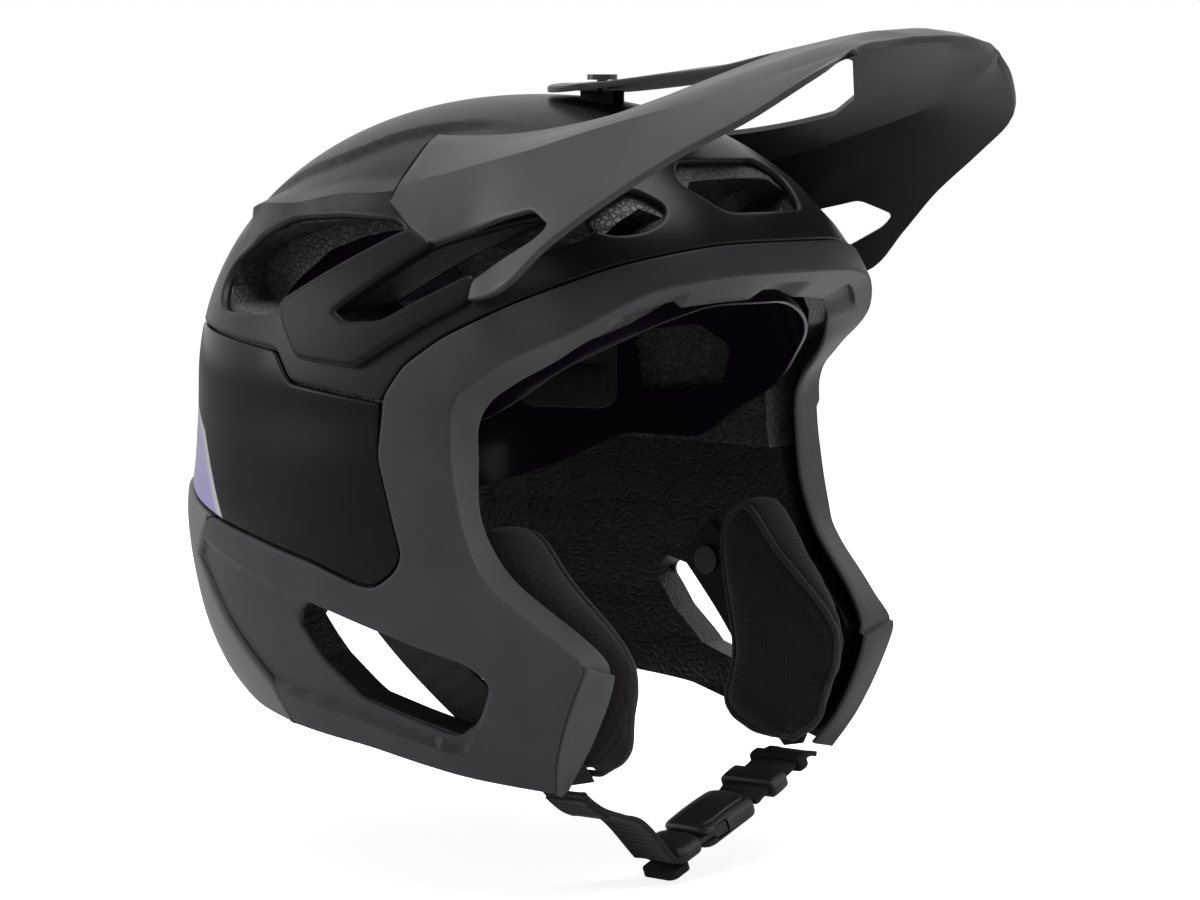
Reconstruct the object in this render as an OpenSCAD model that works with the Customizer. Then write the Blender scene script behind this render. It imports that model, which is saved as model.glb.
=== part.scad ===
// Mountain bike helmet with extended cheek guards, an open face and a wide visor.
// Millimetres. The origin is the centre of the wearer's head, +Z up, -Y ahead, +X to the wearer's left.

/* [Shell] */
// Full width over the widest level of the shell
shell_w = 219; // [205:1:235]
// Reach of the shell ahead of the head centre, at cheek level
front_reach = 152; // [142:1:162]
// Reach of the shell behind the head centre
rear_reach = 142; // [134:1:152]
// Height of the dome above the brow level
dome_h = 107.5; // [102:0.5:114]
// Drop of the skirt below the brow level
shell_drop = 136; // [130:1:142]
// Wall of the moulded outer panels
panel_t = 2.2; // [1.6:0.1:2.8]
// How far the lower frame and the rear bumper stand proud of the upper panels
frame_rise = 1.4; // [0.8:0.1:2.2]
// Depth to which the frame turns in round the face opening
turn_in = 13; // [10:0.5:14]
// Gap of the seams between the outer panels
seam_gap = 1; // [0.6:0.1:1.6]
// Wall of the raised side plates
plate_t = 2.6; // [1.6:0.1:3.4]

/* [Foam] */
// Wall of the upper impact foam
foam_t = 20; // [16:0.5:22]
// Wall of the lower impact foam
jaw_foam_t = 13.5; // [11:0.5:15]

/* [Sliding liner] */
// Wall of the sliding liner
liner_t = 1.2; // [1:0.1:1.6]
// Room between the foam and the sliding liner
liner_room = 2.6; // [2.4:0.1:3]
// Diameter of the elastic anchors
anchor_d = 16; // [12:1:20]

/* [Pads] */
// Thickness of the comfort pads at their crown
pad_t = 7; // [5:0.5:9]
// Reach of the cheek pads' inner faces from the middle of the helmet
cheek_gap = 54; // [51:0.5:57]
// Width of the brow pad around the forehead, in degrees
brow_span = 72; // [60:2:80]

/* [Visor] */
// Wall of the visor
visor_t = 2.4; // [1.8:0.1:3]
// Width of the visor's centre tongue
tongue_w = 40; // [32:1:46]
// Travel of the visor as it breaks away
visor_travel = 40; // [20:1:60]
// Diameter of the visor screw's head
screw_head_d = 11; // [9:0.5:13]
// Diameter of the visor screw's shank
screw_d = 4; // [3:0.5:5]

/* [Chin strap] */
// Width of the webbing
strap_w = 20; // [15:1:21]
// Thickness of the webbing
strap_t = 2; // [1.4:0.1:2.2]
// Length of the buckle's housing
buckle_l = 40; // [34:1:44]
// Width of the buckle
buckle_w = 24; // [22:1:28]
// Thickness of the buckle's housing
buckle_h = 10; // [9:0.5:12]
// Diameter of the buckle's magnet
magnet_d = 9; // [7:0.5:11]

/* [Hidden] */

// Brow level, where the dome meets the skirt
brow_z = 18;
// Full width, reach ahead, reach behind, dome height and drop at which the outlines below were drawn
drawn = [219, 152, 142, 107.5, 136];

// Levels of the skirt from the rim up, as depths below the brow level, with the inset of each from the reaches
level_depth = [136, 120, 98, 79, 50, 24, 0];
side_inset = [20.5, 11.5, 4.5, 1.5, 0, 0.5, 1.5];
front_inset = [16, 5, 0, 1, 8, 14, 17];
rear_inset = [58, 36, 17, 7, 0, 3, 4];
// Squareness of the plan outline and of the dome's profile
plan_n = 2.15;
dome_n = 2.1;

levels = [for (d = level_depth) brow_z - d * shell_drop / drawn[4]];
half_widths = [for (i = side_inset) shell_w / 2 - i];
front_reaches = [for (i = front_inset) front_reach - i];
rear_reaches = [for (i = rear_inset) rear_reach - i];

// Clearances
fit = 0.3;
slide_fit = 0.6;
foam_d = panel_t + fit;
foam_in = foam_d + foam_t;
jaw_in = foam_d + jaw_foam_t;
liner_d = foam_in + liner_room;
pad_gap = 0.95;
pad_d = liner_d + liner_t + pad_gap;
far = 200;

// Slope of a station list at index i
function slope(v, i) =
    let (n = len(levels) - 1, a = max(i - 1, 0), b = min(i + 1, n))
    i == 0 ? (v[1] - v[0]) / (levels[1] - levels[0])
    : i == n ? 0
    : (v[b] - v[a]) / (levels[b] - levels[a]);

function level_below(z, i = 0) = i >= len(levels) - 2 || z < levels[i + 1] ? i : level_below(z, i + 1);

// Smooth value of a station list at height z
function station(v, z) =
    let (q = min(max(z, levels[0]), brow_z), i = level_below(q), h = levels[i + 1] - levels[i],
        t = (q - levels[i]) / h)
    (2 * t ^ 3 - 3 * t ^ 2 + 1) * v[i] + (t ^ 3 - 2 * t ^ 2 + t) * h * slope(v, i)
        + (3 * t ^ 2 - 2 * t ^ 3) * v[i + 1] + (t ^ 3 - t ^ 2) * h * slope(v, i + 1);

function spow(v, p) = sign(v) * abs(v) ^ p;

// Point of the surface that lies d inside the shell, at plan angle t (0 ahead, 90 left), height z and dome share k
function ring_point(t, z, k, d) = [
    (station(half_widths, z) - d) * k * spow(sin(t), 2 / plan_n),
    -(cos(t) > 0 ? station(front_reaches, z) - d : station(rear_reaches, z) - d) * k * spow(cos(t), 2 / plan_n),
    z];

// Share of the plan outline that is left at height z of the dome
function dome_share(z, d) =
    z <= brow_z ? 1 : (1 - min((z - brow_z) / (dome_h - d), 1) ^ dome_n) ^ (1 / dome_n);

function skin_point(t, z, d) = ring_point(t, z, dome_share(z, d), d);

// Height of the dome over the plan point x, y
function dome_at(x, y, d) =
    let (reach = y < 0 ? station(front_reaches, brow_z) - d : station(rear_reaches, brow_z) - d,
        r = ((abs(x) / (station(half_widths, brow_z) - d)) ^ plan_n + (abs(y) / reach) ^ plan_n) ^ (1 / plan_n))
    brow_z + (dome_h - d) * (1 - min(r, 1) ^ dome_n) ^ (1 / dome_n);

// Half width of the skirt at y, z
function skirt_x(y, z, d) =
    let (reach = y < 0 ? station(front_reaches, z) - d : station(rear_reaches, z) - d)
    (station(half_widths, z) - d) * (1 - min(abs(y) / reach, 1) ^ plan_n) ^ (1 / plan_n);

// A drawn place, moved with the shell's sizes
function fit_x(x) = x * shell_w / drawn[0];
function fit_y(y) = y * (y < 0 ? front_reach / drawn[1] : rear_reach / drawn[2]);
function fit_z(z) = brow_z + (z - brow_z) * (z > brow_z ? dome_h / drawn[3] : shell_drop / drawn[4]);
function side(points) = [for (p = points) [fit_y(p[0]), fit_z(p[1])]];
function place(p) = [fit_x(p[0]), fit_y(p[1]), fit_z(p[2])];
function turned(points) = [for (i = [len(points) - 1:-1:0]) points[i]];

// Distance beyond every side-view outline
out = 170;
// Side-view outlines, each point as y, z
crown_seam = [[144, 42], [103, 41], [34, 35], [25, 24], [-19, 19]];
frame_seam = [[-135, 75], [-113, 74], [-94, 67], [-65, 53], [-44, 42], [-30, 32], [-22, 21], [-20, 0],
    [-31, -34], [-28, -40], [-19, -46], [-12, -46], [13, -39], [44, -33], [69, -29], [95, -24], [120, -18],
    [146, -14]];
brow_seam = [for (i = [0:7]) frame_seam[i]];
front_seam = [for (i = [0:14]) frame_seam[i]];
back_seam = [for (i = [7:len(frame_seam) - 1]) frame_seam[i]];
bumper_seam = [[77, -28], [92, -44], [70, -65], [41, -87], [31, -106]];
port_edge = [[-76, -117], [-97, -71], [-96, -67], [-67, -45], [-60, -37], [-54, -20], [-50, 0], [-50, 17], [-55, 24],
    [-68, 30], [-83, 34], [-92, 40], [-102, 51], [-124, 57], [-160, 58]];
rim = [[160, -72], [105, -78], [82, -87], [59, -97], [31, -101], [-5, -105], [-43, -113], [-76, -117]];
rear_vent = [[69, 74], [45, 81], [17, 83], [-12, 82], [-17, 77], [32, 51], [40, 47], [77, 47], [84, 54],
    [84, 65]];
jaw_vent = [[24, -60], [16, -53], [-56, -71], [-63, -77], [-57, -91], [-46, -98], [-5, -87], [12, -74]];
slot = [[4, 49], [-4, 45], [-20, 46], [-52, 63], [-84, 78], [-78, 85], [-60, 82], [-32, 73]];
plate_edge = [[31, 51], [28, 45], [18, 33], [-10, 31], [-22, 38], [-52, 55], [-52, 63], [-32, 73], [-22, 77],
    [-18, 76]];
// Front-view outlines of the brow vents, each point as x, z
brow_vent = [[-30, 95.5], [-21, 85], [21, 85], [30, 95.5], [22, 102.5], [-22, 102.5]];
temple_vent = [[67, 81], [57, 88.5], [46, 93.5], [41, 87], [46, 82], [54, 78.5], [62, 77.5]];
// Middle and outline of the exhaust vents at the back, as x, z
exhaust_vent = [[12, 62], [42, 58], [46, 72], [34, 84], [12, 86]];

// Extrudes a side-view outline across the whole helmet
module across(points, x0 = -far, x1 = far) {
    translate([x0, 0, 0]) rotate([90, 0, 90]) linear_extrude(x1 - x0) polygon(points);
}

// Rounded groove along a side-view line, cut through the whole width
module groove(points, w = seam_gap) {
    rotate([90, 0, 90]) linear_extrude(2 * far, center = true)
        for (i = [1:len(points) - 1]) hull() {
            translate(points[i - 1]) circle(d = w, $fn = 12);
            translate(points[i]) circle(d = w, $fn = 12);
        }
}

// Closed wall of the helmet between the depths d0 and d1
module skin(d0, d1, around = 40, skirt_rows = 8, dome_rows = 7) {
    bottom = levels[0];
    heights = [for (i = [0:skirt_rows]) bottom + (brow_z - bottom) * i / skirt_rows];
    rises = [for (i = [1:dome_rows]) 90 * i / (dome_rows + 0.6)];
    function rows(d) = [
        for (z = heights) for (j = [0:around - 1]) ring_point(360 * j / around, z, 1, d),
        for (e = rises) for (j = [0:around - 1])
            ring_point(360 * j / around, brow_z + (dome_h - d) * sin(e) ^ (2 / dome_n), cos(e) ^ (2 / dome_n), d),
        [0, 0, brow_z + dome_h - d]];
    count = skirt_rows + dome_rows + 1;
    half = count * around + 1;
    function wall(o, flip) = [
        for (r = [0:count - 2]) for (j = [0:around - 1])
            let (a = o + r * around + j, b = o + r * around + (j + 1) % around, c = b + around, d = a + around)
            each (flip ? [[a, c, d], [a, b, c]] : [[a, d, c], [a, c, b]]),
        for (j = [0:around - 1])
            let (a = o + (count - 1) * around + j, b = o + (count - 1) * around + (j + 1) % around,
                top = o + half - 1)
            flip ? [a, b, top] : [a, top, b]];
    edge = [for (j = [0:around - 1])
        let (k = (j + 1) % around)
        each [[j, k, half + k], [j, half + k, half + j]]];
    polyhedron(concat(rows(d0), rows(d1)), concat(wall(0, false), wall(half, true), edge), convexity = 8);
}

// Straight cut through the wall on both sides, narrowing inward
module side_cut(points, inset = 3) {
    outer = shell_w / 2 + 10;
    inner = shell_w / 2 - 47;
    for (s = [0, 1]) mirror([s, 0, 0]) hull() {
        across(points, outer, outer + 1);
        rotate([90, 0, 90]) translate([0, 0, inner]) linear_extrude(1) offset(delta = -inset) polygon(points);
    }
}

// Slab of a front-view outline at y
module front_slab(points, y, rise = 0, inset = 0) {
    outline = [for (p = points) [fit_x(p[0]), fit_z(p[1])]];
    translate([0, y, rise]) rotate([90, 0, 0]) linear_extrude(1) offset(delta = -inset) polygon(outline);
}

// Cut from ahead through the brow, which falls and narrows behind the outer panel
module front_cut(points, depth = 70, fall = 22) {
    ahead = fit_y(-160);
    brow = fit_y(-110);
    hull() {
        front_slab(points, ahead);
        front_slab(points, brow);
    }
    hull() {
        front_slab(points, brow);
        front_slab(points, brow + depth, -fall, 3);
    }
}

// Cut from behind through the back of the dome
module back_cut(points) {
    behind = fit_y(160);
    inside = fit_y(70);
    hull() {
        front_slab(points, behind, 6);
        front_slab(points, inside, -8, 4);
    }
}

module vents() {
    side_cut(side(rear_vent));
    side_cut(side(slot), 1);
    front_cut(brow_vent);
    for (s = [0, 1]) mirror([s, 0, 0]) {
        front_cut(temple_vent, 50, 12);
        back_cut(exhaust_vent);
    }
}

module crown_shell() {
    color("#242427") difference() {
        intersection() {
            skin(0, panel_t);
            across(concat(side(crown_seam), side(turned(brow_seam)), [[-out, side(brow_seam)[0][1]], [-out, out],
                [out, out], [out, side(crown_seam)[0][1]]]));
        }
        groove(side(crown_seam));
        groove(side(frame_seam));
        vents();
    }
}

module side_shell() {
    upper = side(turned(crown_seam));
    lower = side(turned(back_seam));
    color("#1b1b1e") difference() {
        intersection() {
            skin(0, panel_t);
            across(concat(upper, [[out, side(crown_seam)[0][1]], [out, lower[0][1]]], lower));
        }
        groove(side(crown_seam));
        groove(side(frame_seam));
    }
}

// Space below the rim
module below_rim() {
    across(concat(side(rim), [[side(port_edge)[0][0], -out], [out, -out]]));
}

// Wall of the flange that the frame turns in round the face opening
flange_t = 2.4;
// Room between that flange and the foam behind it
foam_back = 6;
port = side(port_edge);

// Opening of the face across the whole width, with its edge moved out by grow
module face_port(grow = 0) {
    rotate([90, 0, 90]) linear_extrude(2 * far, center = true) offset(delta = grow)
        polygon(concat(port, [[-far, port[len(port) - 1][1]], [-far, -out], [port[0][0], -out]]));
}

module lower_frame() {
    color("#3a3a3e") difference() {
        union() {
            intersection() {
                skin(-frame_rise, panel_t);
                across(concat([[-out, side(front_seam)[0][1]]], side(front_seam), side(bumper_seam),
                    [[side(bumper_seam)[4][0], -out], [-out, -out]]));
            }
            intersection() {
                skin(panel_t / 2, turn_in);
                face_port(flange_t);
            }
        }
        face_port();
        below_rim();
        groove(side(frame_seam));
        groove(side(bumper_seam));
        side_cut(side(jaw_vent), 2);
    }
}

module rear_bumper() {
    color("#38383b") difference() {
        intersection() {
            skin(-frame_rise, panel_t);
            across(concat(side(bumper_seam), [[side(bumper_seam)[4][0], -out], [out, -out],
                [out, side(back_seam)[10][1]]], side([back_seam[10], back_seam[9], back_seam[8]])));
        }
        below_rim();
        groove(side(frame_seam));
        groove(side(bumper_seam));
        // Chamfered scoop above the lower edge at the middle of the back
        translate([0, fit_y(142), fit_z(-66)]) rotate([0, 90, 0]) cylinder(d = 12, h = 60, center = true, $fn = 32);
    }
}

// Raised plate round the side slot
module side_plate(s) {
    edge = side(plate_edge);
    color("#333337") mirror([s, 0, 0]) difference() {
        intersection() {
            skin(-plate_t - slide_fit, -slide_fit, 60, 12, 10);
            union() {
                across(edge, 0, far);
                rotate([90, 0, 90]) linear_extrude(far) for (i = [0:len(edge) - 1]) hull() {
                    translate(edge[i]) circle(r = 1, $fn = 12);
                    translate(edge[(i + 1) % len(edge)]) circle(r = 1, $fn = 12);
                }
            }
        }
        side_cut(side(slot), 1);
        side_cut(side(rear_vent));
    }
}

module side_plate_left() { side_plate(0); }

module side_plate_right() { side_plate(1); }

// Rails of the visor from its rear end to the lip: middle, tongue edge, inner rim, ridge and lower edge
visor_middle = [[0, -2, 129.5], [0, -25, 130], [0, -50, 132], [0, -75, 135], [0, -100, 137.5], [0, -122, 141],
    [0, -142, 144.5], [0, -160, 147.5], [0, -175, 148.5], [0, -187, 146]];
visor_shoulder = [[20, -2, 128], [20, -25, 128.5], [20, -50, 130.5], [20, -75, 133], [20, -100, 135.5],
    [20, -121, 139.5], [20, -141, 143], [20, -158, 146], [19, -172, 147.5], [16, -184, 145.5]];
visor_rim = [[66, -5, 109], [66, -25, 109], [66, -45, 110], [66, -67, 113], [64, -88, 118], [60, -108, 124],
    [54, -128, 130.5], [46, -146, 137], [38, -163, 142.5], [30, -180, 144]];
visor_ridge = [[84, -7, 94], [83, -28, 98], [82, -48, 102.5], [81, -68, 107], [79, -88, 112.5], [76, -107, 117.5],
    [70, -127, 123], [61, -148, 129.5], [51, -165, 136], [40, -177, 141.5]];
visor_edge = [[92, -8, 83], [101.5, -30, 60], [98.5, -52, 55.5], [104, -74, 60.5], [101.4, -91.5, 75], [94, -113, 91],
    [87, -137, 106], [76, -159, 119], [58, -171, 132], [44, -176, 139]];
// Rear end of the arm, the slot it leaves open and the strip below the slot, in side view
arm_end = [[4, 112], [-1, 97], [-5, 90], [-22, 79], [-33, 74], [-60, 83], [-78, 87], [-90, 82], [-84, 77],
    [-54, 62.5], [-54, 40], [40, 40], [40, 112]];

// Point at share t between stations of a rail
function along(rail, i, t) =
    let (n = len(rail) - 1, a = rail[max(i - 1, 0)], b = rail[i], c = rail[min(i + 1, n)], d = rail[min(i + 2, n)])
    0.5 * (2 * b + (c - a) * t + (2 * a - 5 * b + 4 * c - d) * t ^ 2 + (3 * b - a - 3 * c + d) * t ^ 3);

module visor_sheet() {
    rails = [visor_middle, visor_shoulder, visor_rim, visor_ridge, visor_edge];
    steps = [2, 3, 2, 3];
    n = len(visor_middle) - 1;
    fine = 2;
    function half_row(i, t) = [
        for (k = [0:3]) for (m = [0:steps[k] - 1])
            let (a = along(rails[k], i, t), b = along(rails[k + 1], i, t)) a + (b - a) * m / steps[k],
        along(rails[4], i, t)];
    function row(i, t) =
        let (h = half_row(i, t))
        concat([for (k = [len(h) - 1:-1:1]) place([-h[k][0], h[k][1], h[k][2]])], [for (p = h) place(p)]);
    top = concat([for (i = [0:n - 1]) for (m = [0:fine - 1]) row(i, m / fine)], [row(n - 1, 1)]);
    rows = len(top);
    cols = len(top[0]);
    function normal(r, c) =
        let (a = top[min(r + 1, rows - 1)][c] - top[max(r - 1, 0)][c],
            b = top[r][min(c + 1, cols - 1)] - top[r][max(c - 1, 0)], q = cross(b, a))
        q / norm(q);
    flat = [for (r = top) each r];
    under = [for (r = [0:rows - 1]) for (c = [0:cols - 1]) top[r][c] + visor_t * normal(r, c)];
    size = rows * cols;
    loop = concat([for (c = [0:cols - 2]) c], [for (r = [0:rows - 2]) r * cols + cols - 1],
        [for (c = [cols - 1:-1:1]) (rows - 1) * cols + c], [for (r = [rows - 1:-1:1]) r * cols]);
    faces = concat(
        [for (r = [0:rows - 2]) for (c = [0:cols - 2])
            let (a = r * cols + c) each [[a, a + 1, a + cols + 1], [a, a + cols + 1, a + cols]]],
        [for (r = [0:rows - 2]) for (c = [0:cols - 2])
            let (a = size + r * cols + c) each [[a, a + cols + 1, a + 1], [a, a + cols, a + cols + 1]]],
        [for (i = [0:len(loop) - 1])
            let (a = loop[i], b = loop[(i + 1) % len(loop)]) each [[a, a + size, b + size], [a, b + size, b]]]);
    polyhedron(concat(flat, under), faces, convexity = 8);
}

// Outline with its corners rounded outward by r
module rounded(points, r) {
    polygon(points);
    for (i = [0:len(points) - 1]) hull() {
        translate(points[i]) circle(r = r, $fn = 16);
        translate(points[(i + 1) % len(points)]) circle(r = r, $fn = 16);
    }
}

// Direction in which the visor leaves the shell: ahead and up
release_angle = 35;
peg_d = 6;
peg_l = 14.3;
// Middle of the peg's seat, midway between the arm and the crown
peg_at = [fit_x(74), fit_y(-45), fit_z(98.5)];

// Turns +Z to the release direction at the peg's place
module at_peg(s) {
    mirror([s, 0, 0]) translate(peg_at) rotate([90 - release_angle, 0, 0]) children();
}

module visor() {
    r = 2;
    inner = tongue_w / 2 + r;
    opening = [[inner, fit_y(24)], [inner, fit_y(-125)], [fit_x(50), fit_y(-104)], [fit_x(58), fit_y(-90)],
        [fit_x(58), fit_y(24)]];
    color("#303033") difference() {
        union() {
            visor_sheet();
            for (s = [0, 1]) at_peg(s) translate([0, 0, -4]) cylinder(d = peg_d, h = peg_l, $fn = 32);
        }
        for (s = [0, 1]) mirror([s, 0, 0]) {
            translate([0, 0, 60]) linear_extrude(100) rounded(opening, r);
            across(side(arm_end), fit_x(55), far);
        }
        // Round rear end of the tongue and the hole of its screw
        translate([0, screw_y, 60]) linear_extrude(100) difference() {
            translate([-inner, 0]) square([2 * inner, far]);
            circle(d = tongue_w, $fn = 64);
        }
        translate([0, screw_y, 0]) cylinder(d = screw_d + fit, h = far, $fn = 32);
    }
}

// Screw through the tongue and its rubber seat on the crown
screw_y = fit_y(-30);
tongue_z = fit_z(130.4);
seat_z = dome_at(0, screw_y, 0) + fit;

module visor_screw() {
    color("#1a1a1a") translate([0, screw_y, 0]) difference() {
        union() {
            translate([0, 0, tongue_z + fit]) cylinder(d = screw_head_d, h = 2, $fn = 32);
            translate([0, 0, seat_z + 1]) cylinder(d = screw_d, h = tongue_z - seat_z, $fn = 32);
        }
        translate([0, 0, tongue_z + 1.3]) cylinder(d = 4, h = 4, $fn = 6);
    }
}

// Rubber seat with a slot open ahead, from which the screw pulls free
module visor_seat() {
    seat_d = 16;
    sink = 2;
    // Fall of the tongue's underside from its middle to the seat's edge
    tongue_fall = 1.2;
    h = tongue_z - visor_t - tongue_fall - seat_z + sink;
    color("#151515") difference() {
        translate([0, screw_y, seat_z - sink]) difference() {
            cylinder(d = seat_d, h = h, $fn = 40);
            translate([0, 0, -1]) cylinder(d = screw_d + 2 * slide_fit, h = h + 2, $fn = 32);
            translate([-screw_d / 2 - slide_fit, -seat_d, -1]) cube([screw_d + 2 * slide_fit, seat_d, h + 2]);
        }
        skin(-fit, foam_t);
    }
}

// Rubber sockets on the crown that hold the visor's pegs
module visor_sockets() {
    socket_d = peg_d + 2 * slide_fit + 3;
    h = 4.8;
    color("#151515") difference() {
        for (s = [0, 1]) at_peg(s) translate([0, 0, -6]) difference() {
            hull() {
                cylinder(d = socket_d, h = h, $fn = 32);
                translate([0, -12, 0]) cylinder(d = socket_d, h = h, $fn = 32);
            }
            translate([0, 0, -1]) cylinder(d = peg_d + 2 * slide_fit, h = h + 2, $fn = 32);
        }
        skin(-fit, foam_t);
    }
}

// Level at which the upper foam meets the lower foam
foam_split = -8;

// Half of the upper foam on the left
module foam_upper(s) {
    color("#2b2b2d") mirror([s, 0, 0]) difference() {
        intersection() {
            skin(foam_d, foam_in);
            across(side([[-160, foam_split], [160, foam_split], [160, 140], [-160, 140]]), fit / 2);
        }
        face_port(flange_t + foam_back);
        vents();
    }
}

module foam_upper_left() { foam_upper(0); }

module foam_upper_right() { foam_upper(1); }

module foam_lower() {
    top = foam_split - fit;
    color("#29292b") difference() {
        intersection() {
            skin(foam_d, jaw_in);
            across(side([[-120, top], [-120, -113], [-74, -113], [-43, -109], [-5, -101], [31, -97], [59, -93],
                [82, -83], [105, -74], [160, -68], [160, top]]));
        }
        face_port(flange_t + foam_back);
        side_cut(side(jaw_vent), 2);
        for (s = [0, 1]) mirror([s, 0, 0]) at_rivet() translate([0, 0, -2]) cylinder(d = rivet_d + 2 * fit, h = far, $fn = 24);
    }
}

module slip_liner() {
    color("#1c1420") difference() {
        intersection() {
            skin(liner_d, liner_d + liner_t);
            across(side([[-140, 53], [-99, 52], [-96, 49], [-82, 38], [-70, 31], [-58, 21], [-47, 14], [-29, 7], [-8, -6],
                [30, -6], [60, -20], [100, -34], [150, -36], [150, 140], [-140, 140]]));
        }
        vents();
        // Cut-outs between the crown band and the head band
        for (s = [0, 1]) mirror([s, 0, 0]) {
            side_cut(side([[-20, 14], [20, 10], [24, 34], [-10, 38], [-26, 30]]), 1);
            side_cut(side([[56, 8], [96, 4], [98, 30], [70, 36], [52, 30]]), 1);
        }
    }
}

// Outward direction of the surface at plan angle t and height z
function outward(t, z, d) =
    let (u = skin_point(t + 2, z, d) - skin_point(t - 2, z, d), w = skin_point(t, z + 2, d) - skin_point(t, z - 2, d),
        n = cross(u, w))
    n / norm(n);

// Turns +Z outward at a place of the surface
module on_skin(t, z, d) {
    n = outward(t, z, d);
    translate(skin_point(t, z, d)) rotate([0, acos(n[2]), atan2(n[1], n[0])]) children();
}

// Elastic anchors between the foam and the sliding liner, at the four sides where the liner's turn keeps its room
module liner_anchors() {
    h = liner_room - 1.6;
    color("#2a2a2c") for (a = [[90, 44], [270, 44], [180, 50], [0, 76]])
        on_skin(a[0], fit_z(a[1]), liner_d) translate([0, 0, fit]) difference() {
            cylinder(d = anchor_d, h = h, $fn = 24);
            translate([0, 0, -1]) cylinder(d = anchor_d / 2, h = h + 2, $fn = 24);
        }
}

// Share of a pad's thickness at a, b of -1..1, with a crown, drawn-in edges and sewn channels
function crown_share(a, b, channels) =
    let (dome = sqrt(max((1 - a ^ 4) * (1 - b ^ 4), 0)),
        sewn = min([1, for (c = channels) 0.45 + abs(a - c) * 6]))
    dome * sewn;

// Closed pad over a grid of back and front points
module pad_body(back, front) {
    rows = len(back);
    cols = len(back[0]);
    size = rows * cols;
    loop = concat([for (c = [0:cols - 2]) c], [for (r = [0:rows - 2]) r * cols + cols - 1],
        [for (c = [cols - 1:-1:1]) (rows - 1) * cols + c], [for (r = [rows - 1:-1:1]) r * cols]);
    faces = concat(
        [for (r = [0:rows - 2]) for (c = [0:cols - 2])
            let (a = r * cols + c) each [[a, a + cols + 1, a + 1], [a, a + cols, a + cols + 1]]],
        [for (r = [0:rows - 2]) for (c = [0:cols - 2])
            let (a = size + r * cols + c) each [[a, a + 1, a + cols + 1], [a, a + cols + 1, a + cols]]],
        [for (i = [0:len(loop) - 1])
            let (a = loop[i], b = loop[(i + 1) % len(loop)]) each [[a, b, b + size], [a, b + size, a + size]]]);
    polyhedron(concat([for (r = back) each r], [for (r = front) each r]), faces, convexity = 6);
}

// A place of -1..1 drawn in at the corners
function soft_a(a, b) = a * sqrt(1 - 0.3 * b ^ 2);

pad_edge = 1.4;

// Pad on the head band, between the plan angles t0 and t1 and the heights z0 and z1
module band_pad(t0, t1, z0, z1, cols, rows, channels) {
    function at(a, b, front) =
        let (sa = soft_a(a, b), sb = soft_a(b, a), z = (z0 + z1) / 2 + (z1 - z0) / 2 * sb,
            h = front ? pad_edge + (pad_t - pad_edge) * crown_share(a, b, channels) : 0)
        skin_point((t0 + t1) / 2 + (t1 - t0) / 2 * sa, z, pad_d + h);
    grid = function (front) [for (r = [0:rows]) [for (c = [0:cols]) at(2 * c / cols - 1, 2 * r / rows - 1, front)]];
    pad_body(grid(false), grid(true));
}

// Pad under the crown, centred at x0, y0 in plan
module roof_pad(x0, y0, w, l, cols, rows, channels) {
    function at(a, b, front) =
        let (x = x0 + w / 2 * soft_a(b, a), y = y0 + l / 2 * soft_a(a, b),
            h = front ? pad_edge + (pad_t - pad_edge) * crown_share(a, b, channels) : 0)
        [x, y, dome_at(x, y, pad_d + h)];
    grid = function (front) [for (r = [0:rows]) [for (c = [0:cols]) at(2 * c / cols - 1, 2 * r / rows - 1, front)]];
    pad_body(grid(true), grid(false));
}

module brow_pad() {
    color("#1d1719") band_pad(-brow_span / 2, brow_span / 2, fit_z(56), fit_z(73), 32, 6, [-0.5, 0, 0.5]);
}

module temple_pad(s) {
    color("#1d1719") mirror([s, 0, 0]) band_pad(104, 128, fit_z(2), fit_z(40), 12, 10, [0]);
}

module temple_pad_left() { temple_pad(0); }

module temple_pad_right() { temple_pad(1); }

module nape_pad() {
    color("#1d1719") band_pad(146, 214, fit_z(-30), fit_z(0), 20, 8, [-0.4, 0.4]);
}

// Width and length of the middle crown pad and of the side ones, and the place of the side ones
middle_pad = [fit_x(30), fit_y(96)];
flank_pad = [fit_x(24), fit_y(70)];
flank_at = [fit_x(36), fit_y(12)];

module crown_pad() {
    color("#1d1719") {
        roof_pad(0, 0, middle_pad[0], middle_pad[1], 16, 5, [-0.5, 0, 0.5]);
        for (s = [0, 1]) mirror([s, 0, 0])
            roof_pad(flank_at[0], flank_at[1], flank_pad[0], flank_pad[1], 12, 5, [-0.33, 0.33]);
    }
}

// Closed smooth curve through points, n steps a span
function smooth(points, n) =
    let (m = len(points))
    [for (i = [0:m - 1]) for (k = [0:n - 1])
        let (a = points[(i + m - 1) % m], b = points[i], c = points[(i + 1) % m], d = points[(i + 2) % m], t = k / n)
        0.5 * (2 * b + (c - a) * t + (2 * a - 5 * b + 4 * c - d) * t ^ 2 + (3 * b - a - 3 * c + d) * t ^ 3)];

// Depth of the cheek pads' backs, behind the webbing and its rivets
rivet_head = 1.2;
cheek_d = jaw_in + strap_t + rivet_head + 5.5 * fit;
cheek_outline = [[-50, -25], [-67, -43], [-91, -64], [-97, -80], [-90, -104], [-75, -114], [-54, -113],
    [-39, -104], [-43, -84], [-38, -58], [-36, -34]];
cheek_middle = side([[-66, -75]])[0];

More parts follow.
